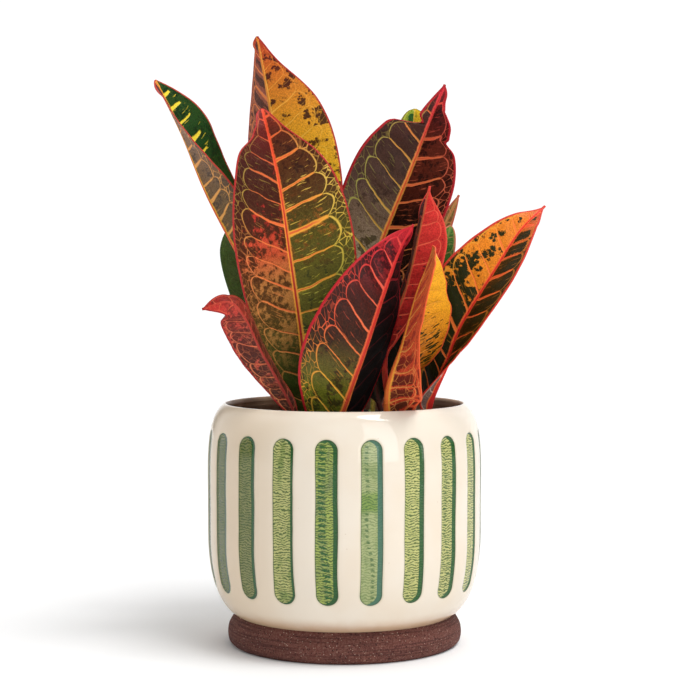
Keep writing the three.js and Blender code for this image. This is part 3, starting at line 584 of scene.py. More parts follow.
class Nodes:
    """Adds nodes to a tree. An input may be a number, a colour or another node's output."""

    def __init__(self, tree):
        self.tree = tree

    def feed(self, socket, value):
        if isinstance(value, Value):
            self.tree.links.new(value.socket, socket)
        elif value is not None:
            if socket.type == "RGBA" and len(value) == 3:
                value = (*value, 1)
            socket.default_value = value

    def add(self, kind, inputs=None, **settings):
        node = self.tree.nodes.new(kind)
        for name, value in settings.items():
            setattr(node, name, value)
        for name, value in (inputs or {}).items():
            self.feed(node.inputs[name], value)
        return node

    def value(self, kind, inputs=None, output=0, **settings):
        """One output of a new node, by its place or its name."""
        return Value(self, self.add(kind, inputs, **settings).outputs[output])

    def named(self, node):
        return {socket.name: Value(self, socket) for socket in node.outputs}

    def split(self, vector):
        node = self.add("ShaderNodeSeparateXYZ", {0: vector})
        return [Value(self, socket) for socket in node.outputs]

    def xyz(self, x=0.0, y=0.0, z=0.0):
        return self.value("ShaderNodeCombineXYZ", {0: x, 1: y, 2: z})

    def math(self, operation, a, b=None):
        return self.value("ShaderNodeMath", {0: a, 1: b}, operation=operation)

    def sine(self, value):
        return self.math("SINE", value)

    def vector(self, operation, a, b=None):
        return self.value("ShaderNodeVectorMath", {0: a, 1: b}, operation=operation)

    def scaled(self, vector, scale):
        return self.value("ShaderNodeVectorMath", {0: vector, "Scale": scale}, operation="SCALE")

    def carried(self, attribute):
        """A vector that the mesh carries at each point."""
        return self.value("ShaderNodeAttribute", output="Vector", attribute_name=attribute)

    def smooth(self, value, low, high, start=0.0, end=1.0):
        """Goes smoothly from start to end as value goes from low to high."""
        return self.value("ShaderNodeMapRange", {"Value": value, "From Min": low, "From Max": high,
                                                 "To Min": start, "To Max": end},
                          interpolation_type="SMOOTHSTEP")

    def noise(self, place, scale, detail=2.0, roughness=0.5):
        """Noise from 0 to 1. Three scales are those along x, y and z."""
        if isinstance(scale, tuple):
            place = self.vector("MULTIPLY", place, scale)
            scale = 1.0
        return self.value("ShaderNodeTexNoise", {"Vector": place, "Scale": scale, "Detail": detail,
                                                 "Roughness": roughness})

    def cells(self, place, scale, feature="F1", output=0):
        return self.value("ShaderNodeTexVoronoi", {"Vector": place, "Scale": scale}, output,
                          feature=feature)

    def mix(self, share, a, b, blend="MIX"):
        """A mix of two colours, each of them from 0 to 255, a setting or another node's output."""
        node = self.add("ShaderNodeMix", data_type="RGBA", blend_type=blend)
        shades = [srgb(*shade) if isinstance(shade, tuple) else shade for shade in (a, b)]
        for place, value in zip((0, 6, 7), (share, *shades)):
            self.feed(node.inputs[place], value)
        return Value(self, node.outputs[2])

    def layers(self, colour, *coats):
        """Lays coats of (share, colour) over a first colour, one after another."""
        for share, shade in coats:
            colour = self.mix(share, colour, shade)
        return colour

    def blend(self, share, a, b):
        return self.value("ShaderNodeMix", {0: share, 2: a, 3: b}, data_type="FLOAT")

    def ramp(self, value, stops):
        """A ramp through colours or numbers, each at its place from 0 to 1."""
        node = self.add("ShaderNodeValToRGB", {"Fac": value})
        elements = node.color_ramp.elements
        while len(elements) < len(stops):
            elements.new(1.0)
        for element, place in zip(elements, stops):
            element.position = place
        for element, shade in zip(elements, stops.values()):
            linear = srgb(*shade) if isinstance(shade, tuple) else (shade,) * 3
            element.color = (*linear, 1)
        return Value(self, node.outputs[0])


def new_material(name):
    material = bpy.data.materials.new(name)
    material.use_nodes = True
    material.node_tree.nodes.clear()
    return material, Nodes(material.node_tree)


def finish_surface(nodes, colour, roughness, height, distance, specular=0.5):
    """The shader that the nodes end in, with a bump from height, in the metres of distance."""
    bump = nodes.value("ShaderNodeBump", {"Height": height, "Distance": distance})
    shader = nodes.value("ShaderNodeBsdfPrincipled", {
        "Base Color": colour, "Roughness": roughness, "Normal": bump, "Specular IOR Level": specular})
    nodes.add("ShaderNodeOutputMaterial", {"Surface": shader})


def placed_material(name):
    """A new material, its nodes and the place on its piece in mm."""
    material, nodes = new_material(name)
    return material, nodes, nodes.scaled(nodes.value("ShaderNodeTexCoord", output="Object"), 1 / MM)


def stripe_field(nodes, place, count, width):
    """The distance in mm from a stripe's edge (less than 0 inside it), the place across it, and which
    stripe it is, at a place in mm on the pot's outer wall."""
    x, y, z = nodes.split(place)
    radius = nodes.math("SQRT", x * x + y * y)
    angle = nodes.math("ARCTAN2", x, y * -1)
    phase = (angle - math.radians(FIRST_STRIPE_ANGLE)) * count / FULL_TURN
    index = nodes.math("ROUND", phase)
    across = radius * nodes.sine((phase - index) * FULL_TURN / count)
    half_straight = (STRIPE_HIGH - STRIPE_LOW) / 2 - width * 0.5
    beyond = nodes.math("MAXIMUM", abs(z - (STRIPE_LOW + STRIPE_HIGH) / 2) - half_straight, 0.0)
    reach = nodes.math("SQRT", across * across + beyond * beyond)
    waver = (nodes.noise(place, (0.06, 0.06, 0.04), 1) - 0.5) * STRIPE_WAVER
    on_inner_wall = radius < INNER_BELLY_RADIUS + INNER_WALL_SLACK
    return reach + waver - width * 0.5 + on_inner_wall * FAR_FROM_STRIPES, across, index


# Pot materials


def cream_glaze(nodes, place, broad, settings):
    """Slightly uneven cream, tan towards the neck and darker tan on the left as painted shade, with a few
    fine specks.
    """
    x, _, z = nodes.split(place)
    return nodes.layers(
        settings.glaze,
        (nodes.smooth(broad, 0.35, 0.7, 0, 0.3), (222, 200, 172)),
        (nodes.smooth(z + nodes.noise(place, 0.15) * 2.4, 17, 27, 0.85, 0), (192, 154, 118)),
        # Painted shade: darker tan towards the left side.
        (nodes.smooth(x + broad * 20, -55, -5, 0.5, 0), (218, 190, 152)),
        (nodes.smooth(nodes.cells(place, 0.11), 0.02, 0.05, 0.35, 0), (170, 140, 106)))


def stripe_glaze(nodes, place, distance, across, index, settings):
    """The green of the stripes and how strong their ripples are."""
    _, _, z = nodes.split(place)
    # Each stripe has its own tone: some are yellower, some greyer, and one beside the seam is bluish from a
    # painted reflection of the softbox. The stripes on the left are darker and greyer still, as painted
    # shade.
    chance = nodes.named(nodes.add("ShaderNodeTexWhiteNoise", {"W": index + 4.5}, noise_dimensions="1D"))
    tone = chance["Value"]
    _, second_tone, _ = nodes.split(chance["Color"])
    is_fresh, is_reflecting = (nodes.smooth(abs(index - stripe), 0.2, 0.8, 1, 0)
                         for stripe in (FRESH_STRIPE, REFLECTING_STRIPE))
    # Painted shade: the stripes on the left are greyer.
    left_stripe_shade = nodes.smooth(index, -2.6, -2.4, 1, 0)
    wash = nodes.noise(nodes.xyz(across * 0.2, index * 7.3, z * 0.09), 1.0, 4, 0.6)
    # Painted reflection: the stripe where the softbox falls gets paler, bluer greens.
    pale = nodes.layers(settings.stripe_light, (tone, (158, 162, 96)), (is_reflecting * 0.85, (158, 168, 116)),
                        (is_fresh * 0.8, (146, 164, 66)))
    strong = nodes.layers(settings.stripe_green, (nodes.smooth(second_tone, 0.2, 0.9), (120, 134, 78)),
                          (is_reflecting * 0.8, (132, 150, 94)))
    # Fine ripples run across each stripe, break up and swing with the pooling glaze.
    swing = nodes.noise(nodes.xyz(across * 0.22, index, z * 0.16), 1.0, 2)
    breaks = nodes.noise(place, (0.8, 0.8, 1.6), 2)
    ripple = nodes.sine(z * 4.6 + swing * 22) * 0.5 + (breaks - 0.5) * 2.4
    ripple = nodes.smooth(ripple, -0.05, 0.35)
    # Short dark rungs stand where the glaze ran together, down the left third of a stripe.
    rung_swing = nodes.noise(nodes.xyz(index * 3.1, 0.0, z * 0.03), 1.0, 1)
    rung_middle = -2.4 + nodes.smooth(z, 70, 45) * 3.2 + (rung_swing - 0.5) * 4
    rung = nodes.smooth(nodes.sine(z * 2.2 + breaks * 5 + across * 0.35), 0.0, 0.4)
    rung = rung * nodes.smooth(abs(across - rung_middle), nodes.blend(is_fresh, 0.5, 1.4),
                               nodes.blend(is_fresh, 1.3, 2.6), 1, 0)
    rung = rung * nodes.math("MAXIMUM", is_fresh, nodes.smooth(second_tone, 0.55, 0.9, 0, 0.7))
    band = is_reflecting * nodes.smooth(abs(z - REFLECTING_STRIPE_BAND), 3, 7, 0.8, 0)
    # The glaze pools in a dark line down the right edge and round both ends.
    pool_width = nodes.smooth(across, -3.8, 4.8, 0.0, 1.9) * (tone * 0.9 + 0.8)
    pool = nodes.smooth(distance + pool_width, -0.2, 0.1)
    green = nodes.layers(
        pale,
        (nodes.smooth(wash, 0.42, 0.68), strong),
        (nodes.smooth(index, 1.4, 1.6, 0, 0.5), (206, 202, 126)),
        # Painted shade: the stripes on the left are darker.
        (nodes.smooth(index, -1.6, -1.4, 0.6, 0), (104, 104, 58)),
        # Painted reflection: the ripples and the pool of that stripe are bluer too.
        (ripple * nodes.blend(is_reflecting, 0.9, 0.6), nodes.mix(is_reflecting, (60, 84, 32), (96, 118, 66))),
        (rung * 0.92, settings.stripe_dark),
        (band, nodes.mix(ripple, (112, 142, 50), (64, 104, 34))),
        (pool * 0.95, nodes.mix(is_reflecting * 0.8, settings.stripe_dark, (64, 110, 92))),
        (nodes.smooth(abs(distance + 0.2), 0.1, 0.4, 0.65, 0), (38, 58, 24)),
        (left_stripe_shade * 0.35, (52, 76, 44)))
    return green, ripple


def glaze_material(settings):
    material, nodes, place = placed_material("cream_glaze_with_green_stripes")
    distance, across, index = stripe_field(nodes, place, settings.stripes, settings.stripe_width / MM)
    broad = nodes.noise(place, 0.03, 3)
    green, ripple = stripe_glaze(nodes, place, distance, across, index, settings)
    inside = nodes.smooth(distance, -0.12, 0.18, 1, 0)
    halo = nodes.smooth(distance, 0.2, 1.2, 0.35, 0)
    colour = nodes.layers(cream_glaze(nodes, place, broad, settings), (inside, green),
                          (halo * (1 - inside), (186, 178, 136)))
    height = ripple * inside * -0.2 + nodes.noise(place, 0.05, 2) * 0.1
    roughness = nodes.blend(inside, nodes.smooth(broad, 0.3, 0.7, 0.03, 0.05), 0.1)
    finish_surface(nodes, colour, roughness, height, 0.5 * MM)
    return material


def inner_glaze_material(settings):
    material, nodes, place = placed_material("brown_inner_wall")
    rings = nodes.noise(place, (0.02, 0.02, 0.5), 3)
    stain = nodes.noise(place, 0.06, 4)
    colour = nodes.layers(settings.inside, (nodes.smooth(stain, 0.3, 0.75), (132, 102, 82)),
                          (nodes.smooth(rings, 0.45, 0.75, 0, 0.4), (200, 176, 150)))
    finish_surface(nodes, colour, nodes.smooth(stain, 0.3, 0.7, 0.4, 0.55), rings, 0.4 * MM)
    return material


def clay_material(settings):
    material, nodes, place = placed_material("bare_sandy_clay")
    broad = nodes.noise(place, 0.05, 3)
    grain = nodes.noise(place, 1.1, 4, 0.7)
    sand = nodes.smooth(nodes.cells(place, 0.8), 0.12, 0.24, 0.9, 0)
    sparse = nodes.smooth(nodes.noise(place, 0.5), 0.44, 0.56)
    pit = nodes.smooth(nodes.cells(nodes.vector("ADD", place, (5, 9, 2)), 0.6), 0.12, 0.28, 0.9, 0)
    turning = nodes.noise(place, (0.03, 0.03, 1.3), 3)
    colour = nodes.layers(
        settings.clay,
        (nodes.smooth(broad, 0.3, 0.7, 0, 0.55), (82, 44, 40)),
        (nodes.smooth(grain, 0.42, 0.62, 0, 0.6), (140, 96, 84)),
        (sand * sparse, (206, 176, 156)),
        (pit, (44, 22, 22)),
        (nodes.smooth(turning, 0.5, 0.62, 0, 0.5), (58, 30, 28)))
    height = grain * 0.8 + turning * 0.9 - pit * 0.6
    finish_surface(nodes, colour, nodes.smooth(grain, 0.3, 0.7, 0.82, 0.95), height, 0.9 * MM, specular=0.25)
    return material


def plastic_material(settings):
    material, nodes, place = placed_material("grow_pot_plastic")
    dust = nodes.noise(place, 0.08, 4, 0.6)
    colour = nodes.mix(nodes.smooth(dust, 0.45, 0.75, 0, 0.5), settings.plastic, (92, 78, 66))
    finish_surface(nodes, colour, nodes.smooth(dust, 0.3, 0.7, 0.42, 0.62), nodes.noise(place, 1.6, 3),
                   0.15 * MM, specular=0.4)
    return material


def compost_material(settings):
    material, nodes, place = placed_material("moist_compost")
    crumbs = nodes.cells(place, 0.45)
    fibre = nodes.noise(place, (0.4, 1.44, 0.8), 5, 0.7)
    colour = nodes.layers(settings.compost, (nodes.smooth(fibre, 0.4, 0.7), (88, 64, 46)),
                          (nodes.smooth(crumbs, 0.3, 0.75, 0, 0.7), (24, 18, 15)))
    finish_surface(nodes, colour, nodes.smooth(fibre, 0.3, 0.7, 0.8, 0.98), fibre - crumbs, 1.2 * MM,
                   specular=0.2)
    return material


def crumb_material(name, light, dark):
    material, nodes, place = placed_material(name)
    chance = nodes.noise(place, 0.35, 3, 0.6)
    fine = nodes.noise(place, 2.2, 3)
    colour = nodes.layers(dark, (nodes.smooth(chance, 0.35, 0.68), light),
                          (nodes.smooth(fine, 0.45, 0.7, 0, 0.35), dark))
    finish_surface(nodes, colour, nodes.smooth(fine, 0.3, 0.7, 0.8, 0.95), fine, 0.4 * MM, specular=0.2)
    return material


def bark_material(settings):
    material, nodes, place = placed_material("stem_bark")
    _, _, z = nodes.split(place)
    streaks = nodes.noise(place, (1.4, 1.4, 0.22), 5, 0.6)
    lichen = nodes.noise(place, 0.4, 3)
    young = nodes.smooth(z, 114, 121)
    colour = nodes.layers(settings.bark, (nodes.smooth(streaks, 0.35, 0.65), (70, 52, 38)),
                          (nodes.smooth(lichen, 0.55, 0.75, 0, 0.5), (150, 132, 104)),
                          (young, (104, 116, 58)))
    finish_surface(nodes, colour, 0.75, streaks, 0.6 * MM, specular=0.3)
    return material


# Leaf materials

PATTERN_INPUTS = ("Spacing", "Rise", "Bend", "Loop", "Line", "Rib", "Border Width", "Rim", "Cell", "Seed")


def blade_pattern():
    """Where the veins, the rib, the margin and the blotches lie on a blade, from the places that its mesh
    carries: millimetres across and along, and shares of the width and the length."""
    group = bpy.data.node_groups.new("Croton blade pattern", "ShaderNodeTree")
    for name in PATTERN_INPUTS:
        group.interface.new_socket(name, in_out="INPUT", socket_type="NodeSocketFloat")
    n = Nodes(group)
    given = n.named(n.add("NodeGroupInput"))
    x, y, width = n.split(n.carried("blade_mm"))
    share_across, along, _ = n.split(n.carried("blade_share"))
    aside = abs(x)
    share = abs(share_across)
    seed = given["Seed"] + (x > 0) * RIGHT_HALF_SHIFT
    place = n.xyz(x, y, seed * 20)
    # Laterals: unevenly spaced and of uneven strength, climbing from the rib, and more so near the margin.
    waver = n.noise(place, 0.06, 2) - 0.5
    fine = n.noise(place, 0.7, 2) - 0.5
    climb = given["Rise"] * aside + given["Bend"] * aside * share
    height = y - climb + waver * 4.5
    steps = n.noise(n.xyz(seed * 9, height * 0.05), 1.0, 1)
    phase = height / given["Spacing"] + seed + (steps - 0.5) * 0.9
    turn = n.math("FRACT", phase)
    order = n.math("FLOOR", phase) + seed * 31
    strength = n.value("ShaderNodeTexWhiteNoise", {"W": order}, noise_dimensions="1D")
    vein_mm = abs(turn - 0.5) * given["Spacing"] * 0.86 + fine * 0.5
    line = given["Line"] * n.blend(strength, 0.55, 1.1) * (1.25 - share * 0.85)
    waved = share + waver * 0.1
    reaching = n.smooth(waved - given["Loop"], -0.11, -0.06, 1, 0)
    lateral = n.smooth(vein_mm - line, -0.3, 0.25, 1, 0) * reaching
    core = n.smooth(vein_mm - line * 0.42, -0.2, 0.2, 1, 0) * n.smooth(share, 0.35, 0.65, 1, 0)
    # Loops: each lateral bends up and joins the next one, in an arc.
    arc = n.math("POWER", abs(n.math("COSINE", turn * math.pi)), 0.6)
    from_loop = waved - (given["Loop"] - 0.11 + arc * 0.17)
    loop_mm = abs(from_loop) * width + fine * 0.4
    loop = n.smooth(loop_mm - (given["Line"] * 0.4 + 0.12), -0.25, 0.3, 1, 0)
    inside = n.smooth(from_loop, -0.015, 0.015, 1, 0)
    # Small cells beyond the loops, and thin broken dashes beside the laterals.
    cell_place = n.xyz(aside / given["Cell"], height / (given["Cell"] * 0.9), seed * 3)
    between = n.cells(cell_place, 1.0, "DISTANCE_TO_EDGE")
    patchy = n.smooth(n.noise(place, 0.17, 2), 0.36, 0.58, 0.3, 1)
    net = n.smooth(between, 0.015, 0.065, 1, 0) * patchy
    dash = n.smooth(n.noise(n.xyz(aside * 0.12, height * 1.1, seed), 1.0, 2), 0.64, 0.68)
    # Blotches: islands that grow from the middles between the veins, dots, short streaks and soft mottling.
    broad = n.smooth(n.noise(place, 0.07, 3, 0.6), 0.25, 0.75)
    ragged = n.noise(place, 0.75, 3, 0.6) - 0.5
    mottling = n.noise(place, 0.3, 5, 0.65)
    middle = n.math("MINIMUM", vein_mm / (given["Spacing"] * 0.42), from_loop * width * -0.25)
    islands = n.smooth(n.blend(inside, between * 2.4, middle), 0, 1)
    islands = islands + ragged * 0.9 + (broad - 0.5) * 0.5
    stray = n.vector("MULTIPLY", n.xyz(ragged, mottling - 0.5), (5, 5, 0))
    dot_place = n.vector("ADD", place, stray)
    dot_chance, _, _ = n.split(n.cells(dot_place, 0.42, "F1", "Color"))
    dots = 1 - (n.cells(dot_place, 0.42) * 1.2 + dot_chance * 0.5)
    clusters = n.smooth(n.noise(place, 0.12, 2), 0.36, 0.6)
    smudges = (dots + clusters) * 0.42 + islands * 0.16
    streaks = n.smooth(n.noise(n.xyz(aside * 0.24, height * 0.75, seed), 1.0, 1), 0.32, 0.74)
    streaks = streaks * 0.75 + clusters * 0.25
    mottle = n.smooth(mottling, 0.3, 0.7) * 0.55 + broad * 0.45
    # The rib with its paler borders, and the margin.
    rib_half = given["Rib"] * (1.15 - along * 0.75)
    rib = n.smooth(aside - rib_half, -0.25, 0.2, 1, 0)
    border_half = rib_half + given["Border Width"] * (1.1 - along * 0.6)
    border = n.smooth(aside - (border_half + fine), -0.3, 0.4, 1, 0)
    rim = n.smooth((1 - share) * width + fine - given["Rim"], -0.35, 0.45, 1, 0)
    relief = 0.6 - n.math("MAXIMUM", lateral * 0.6, net * 0.2)
    results = dict(Lateral=lateral, Core=core, Loop=loop, Inside=inside, Net=net, Dash=dash, Rib=rib,
                   Border=border, Rim=rim, Islands=islands, Dots=dots, Smudges=smudges, Streaks=streaks,
                   Mottle=mottle, Along=along, Across=share, Relief=relief)
    for name in results:
        group.interface.new_socket(name, in_out="OUTPUT", socket_type="NodeSocketFloat")
    n.add("NodeGroupOutput", results)
    return group


def painted_half(nodes, at, side, core_colour, grain):
    """The colour of one half of a blade: its ground, patches, dashes, small cells and veins."""
    ground, patch, amount, veins, arcs = (
        nodes.ramp(at["Along"], side[key]) for key in ("ground", "patch", "amount", "vein", "arc"))
    level = amount + at["Across"] * at["Across"] * side["edge"] + at[side["kind"]] - 1
    base = nodes.mix(nodes.smooth(level, -side["soft"], side["soft"]), ground, patch)
    deeper = nodes.mix(1.0, base, (166, 156, 146), "MULTIPLY")
    net = nodes.math("MAXIMUM", at["Net"] * nodes.blend(at["Inside"], side["net"], side["inner"]),
                     at["Loop"] * side["loops"])
    reaching = nodes.smooth(at["Across"], side["reach"] - 0.04, side["reach"] + 0.01, 1, 0)
    return nodes.layers(
        base,
        (nodes.smooth(grain, 0.35, 0.65, 0.6, 0), deeper),
        (at["Dash"] * at["Inside"] * side["dash"], arcs),
        (net, arcs),
        (at["Lateral"] * reaching, veins),
        (at["Core"] * side["core"], core_colour))


def along_colour(nodes, along, shade):
    """A plain colour, or a ramp of colours along the blade."""
    return nodes.ramp(along, shade) if isinstance(shade, dict) else shade


def blade_material(name, colours, halves, group, roughness, under=False):
    """One face of a leaf, with a left and a right half."""
    material, nodes = new_material(name)
    grain_place = nodes.carried("blade_mm")
    right = nodes.split(grain_place)[0] > 0
    pairs = ((colours["spacing"], colours["spacing"] * colours["spread"]), colours["rise"],
             (halves[0]["line"], halves[1]["line"]), colours["matt"])
    spacing, rise, line, matt = (nodes.blend(right, *pair) for pair in pairs)
    rib_width = colours["rib_width"] * (UNDER_RIB_SHARE if under else 1)
    values = (spacing, rise, colours["bend"], colours["loop"], line, rib_width, colours["border_width"],
              colours["rim_width"], colours["cell"], colours["seed"])
    at = nodes.named(nodes.add("ShaderNodeGroup", dict(zip(PATTERN_INPUTS, values)), node_tree=group))
    grain = nodes.noise(grain_place, 1.3, 4, 0.65)
    colour = nodes.mix(right, *(painted_half(nodes, at, side, colours["core"], grain) for side in halves))
    for along, across, reach_along, reach_across, shade in colours["spots"]:
        offset = nodes.vector("SUBTRACT", nodes.carried("blade_share"), (across, along, 0))
        offset = nodes.vector("MULTIPLY", offset, (1 / reach_across, 1 / reach_along, 0))
        far = nodes.value("ShaderNodeVectorMath", {0: offset}, "Value", operation="LENGTH")
        far = far + nodes.noise(grain_place, 0.3, 3) * 0.8
        colour = nodes.mix(nodes.smooth(far, 1.15, 1.4, 0.9, 0), colour, shade)
    colour = nodes.layers(
        colour,
        (at["Border"] * 0.9, along_colour(nodes, at["Along"], colours["border"])),
        (at["Rib"], along_colour(nodes, at["Along"], colours["rib"])),
        (at["Rim"], colours["rim"]))
    rough = nodes.smooth(grain, 0.3, 0.7, roughness + 0.06, roughness - 0.05) + matt
    finish_surface(nodes, colour, rough, at["Relief"] + grain * 0.12, (-0.4 if under else 0.4) * MM,
                   specular=0.09 if under else 0.13)
    return material


# Meshes


def place_object(name, data):
    placed = bpy.data.objects.new(name, data)
    bpy.context.scene.collection.objects.link(placed)
    return placed


def new_piece(name, mesh, materials):
    for material in materials:
        mesh.materials.append(material)
    return place_object(name, mesh)


def smooth_mesh(name, points, faces):
    mesh = bpy.data.meshes.new(name)
    mesh.from_pydata(points.tolist(), [], faces)
    mesh.polygons.foreach_set("use_smooth", np.ones(len(faces), bool))
    return mesh


def settle(piece, slot, *nodes):
    """Everything rides on the one body; the piece takes its nodes' place. The slot is not used."""
    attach(piece, "root")
    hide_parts(*nodes)


def ease(share):
    share = np.clip(share, 0, 1)
    return share * share * (3 - 2 * share)


def along_blade(values, s):
    base, middle, tip = values
    return np.where(s < 0.5, base + (middle - base) * ease(2 * s), middle + (tip - middle) * ease(2 * s - 1))


def spine_at(points, t):
    """The place and direction at shares t of a smooth line through the points."""
    last = len(points) - 1
    place = t * last
    i = np.minimum(place.astype(int), last - 1)
    w = (place - i)[:, None]
    padded = np.vstack([2 * points[0] - points[1], points, 2 * points[-1] - points[-2]])
    before, start, end, after = (padded[i + k] for k in range(4))
    slope_in = (end - before) / 2
    slope_out = (after - start) / 2
    cubic = 2 * start - 2 * end + slope_in + slope_out
    square = -3 * start + 3 * end - 2 * slope_in - slope_out
    at = ((cubic * w + square) * w + slope_in) * w + start
    slope = (3 * cubic * w + 2 * square) * w + slope_in
    return at, slope / np.linalg.norm(slope, axis=1, keepdims=True)


def half_width(shape, side, s):
    """The width of one half of a blade in mm, with its lobes cut off and its nicks cut in."""
    reach = np.sin(math.pi * np.clip(s, 0, 1) ** (math.log(0.5) / math.log(shape["widest"])))
    taper = np.where(s < shape["widest"], BLADE_FULLNESS, shape["tip_taper"])
    width = shape["half_width"] * shape["share"][0 if side < 0 else 1] * np.maximum(reach, 0) ** taper
    for lobe_side, at, keep in shape["lobes"]:
        if lobe_side == side:
            width = width * (1 + (keep - 1) * np.clip((s - at + LOBE_LEAD) / LOBE_LENGTH, 0, 1))
    for nick_side, at, depth, reach_along in shape["nicks"]:
        if nick_side == side:
            width = width * (1 - depth * np.exp(-(((s - at) / reach_along) ** 2)))
    return np.maximum(width, TIP_HALF_WIDTH)


def spine_points(shape):
    """The spine's points in mm, from where the stalk leaves the bark of its stem."""
    spine = np.array(shape["spine"], float)
    x, y, _ = STEMS[shape["stem"]]
    out = np.array([spine[0][0] - x, spine[0][1] - y, 0.0])
    out /= np.linalg.norm(out)
    bark = np.array([x, y, shape["root_height"]]) + out * STEM_RADIUS
    steepness = abs((spine[0] - bark)[2]) / np.linalg.norm(spine[0] - bark)
    return np.vstack([bark + out * (SEAT_GAP + PETIOLE_RADIUS * steepness), spine])


def leaf_rows(shape, rows):
    """For each row of the mesh its share t of the spine, its share s of the blade, and how far it is
    blade and not yet stalk."""
    blade_start = 1 / len(shape["spine"])
    t_stalk = np.linspace(0, blade_start, STALK_ROWS + 1)[:-1]
    s_blade = np.linspace(0, 1, rows)
    for _, at, _ in shape["lobes"]:
        cut = (at - LOBE_LEAD, at + LOBE_LEAD, at + LOBE_LENGTH - LOBE_LEAD)
        s_blade = np.sort(np.append(s_blade, cut))
    t = np.concatenate([t_stalk, blade_start + (1 - blade_start) * s_blade])
    s = np.clip((t - blade_start) / (1 - blade_start), 0, 1)
    last_round = blade_start * 2 / 3
    opening = FOOT_SHARE * np.clip((t - last_round) / (blade_start - last_round), 0, 1)
    blade_share = np.where(t < blade_start, opening, np.minimum(1, FOOT_SHARE + FOOT_GROWTH * s))
    return t, s, blade_share[:, None]


def blade_directions(shape, tangent, s):
    """The directions across the blade and out of its upper face, at each row."""
    toward = np.array(shape["faces"], float)
    face = toward - (tangent @ toward)[:, None] * tangent
    face /= np.linalg.norm(face, axis=1, keepdims=True)
    turn = np.radians(along_blade(shape["turn"], s))[:, None]
    face = face * np.cos(turn) + np.cross(tangent, face) * np.sin(turn)
    return np.cross(tangent, face), face


def blade_section(shape, colours, plant, s, u, along_mm):
    """How far each point lies across and out of the spine, and its half's width, all in mm."""
    left = u < 0
    width = np.where(left, half_width(shape, -1, s)[:, None], half_width(shape, 1, s)[:, None])
    reach = np.abs(u)
    flatten = np.clip((width - 2) / 6, 0, 1)
    fold = np.where(left, *(along_blade(side, s)[:, None] for side in shape["fold"]))
    fold = np.radians(fold) * flatten
    curl = np.radians(along_blade(shape["curl"], s))[:, None] * flatten + LEAST_CURL
    across = np.sign(u) * width * (np.sin(fold + curl * reach) - np.sin(fold)) / curl
    lift = width * (np.cos(fold) - np.cos(fold + curl * reach)) / curl
    count, height, shift = shape["wave"]
    phase = FULL_TURN * count * s[:, None] + np.where(left, 0, shift)
    swell = np.sin(math.pi * s)[:, None] * flatten
    lift = lift + height * reach ** 2 * swell * np.sin(phase)
    # The blade swells between its veins, which lie where the material draws them.
    spacing = colours["spacing"] * np.where(left, 1.0, colours["spread"])
    climb = (np.where(left, *colours["rise"]) + colours["bend"] * reach) * width * reach
    between = (along_mm - climb) / spacing + colours["seed"] + np.where(left, 0, RIGHT_HALF_SHIFT)
    puff = np.cos(math.pi * between) ** 2 * np.sin(math.pi * np.clip(reach / 0.8, 0, 1))
    lift = lift + plant.quilting / MM * puff * np.sqrt(np.clip(swell, 0, 1))
    ruffle = np.sin(23 * math.pi * s[:, None] + colours["seed"] + u) * np.sin(9 * s[:, None] + 4)
    return across, lift + RUFFLE * ruffle * reach ** 5 * swell, width


def sheet_quads(rows, columns):
    """Quads of an upper sheet, of the lower sheet behind it and of the four edges that join them."""
    top = np.arange(rows * columns).reshape(rows, columns)
    low = top + rows * columns
    a, b, c, d = top[:-1, :-1], top[:-1, 1:], top[1:, 1:], top[1:, :-1]
    sheets = [np.stack([a, b, c, d], -1), np.stack([a, d, c, b], -1) + rows * columns]
    edges = [np.stack([top[:-1, 0], top[1:, 0], low[1:, 0], low[:-1, 0]], -1),
             np.stack([top[:-1, -1], low[:-1, -1], low[1:, -1], top[1:, -1]], -1),
             np.stack([top[0, :-1], low[0, :-1], low[0, 1:], top[0, 1:]], -1),
             np.stack([top[-1, :-1], top[-1, 1:], low[-1, 1:], low[-1, :-1]], -1)]
    return np.concatenate([quads.reshape(-1, 4) for quads in sheets + edges])


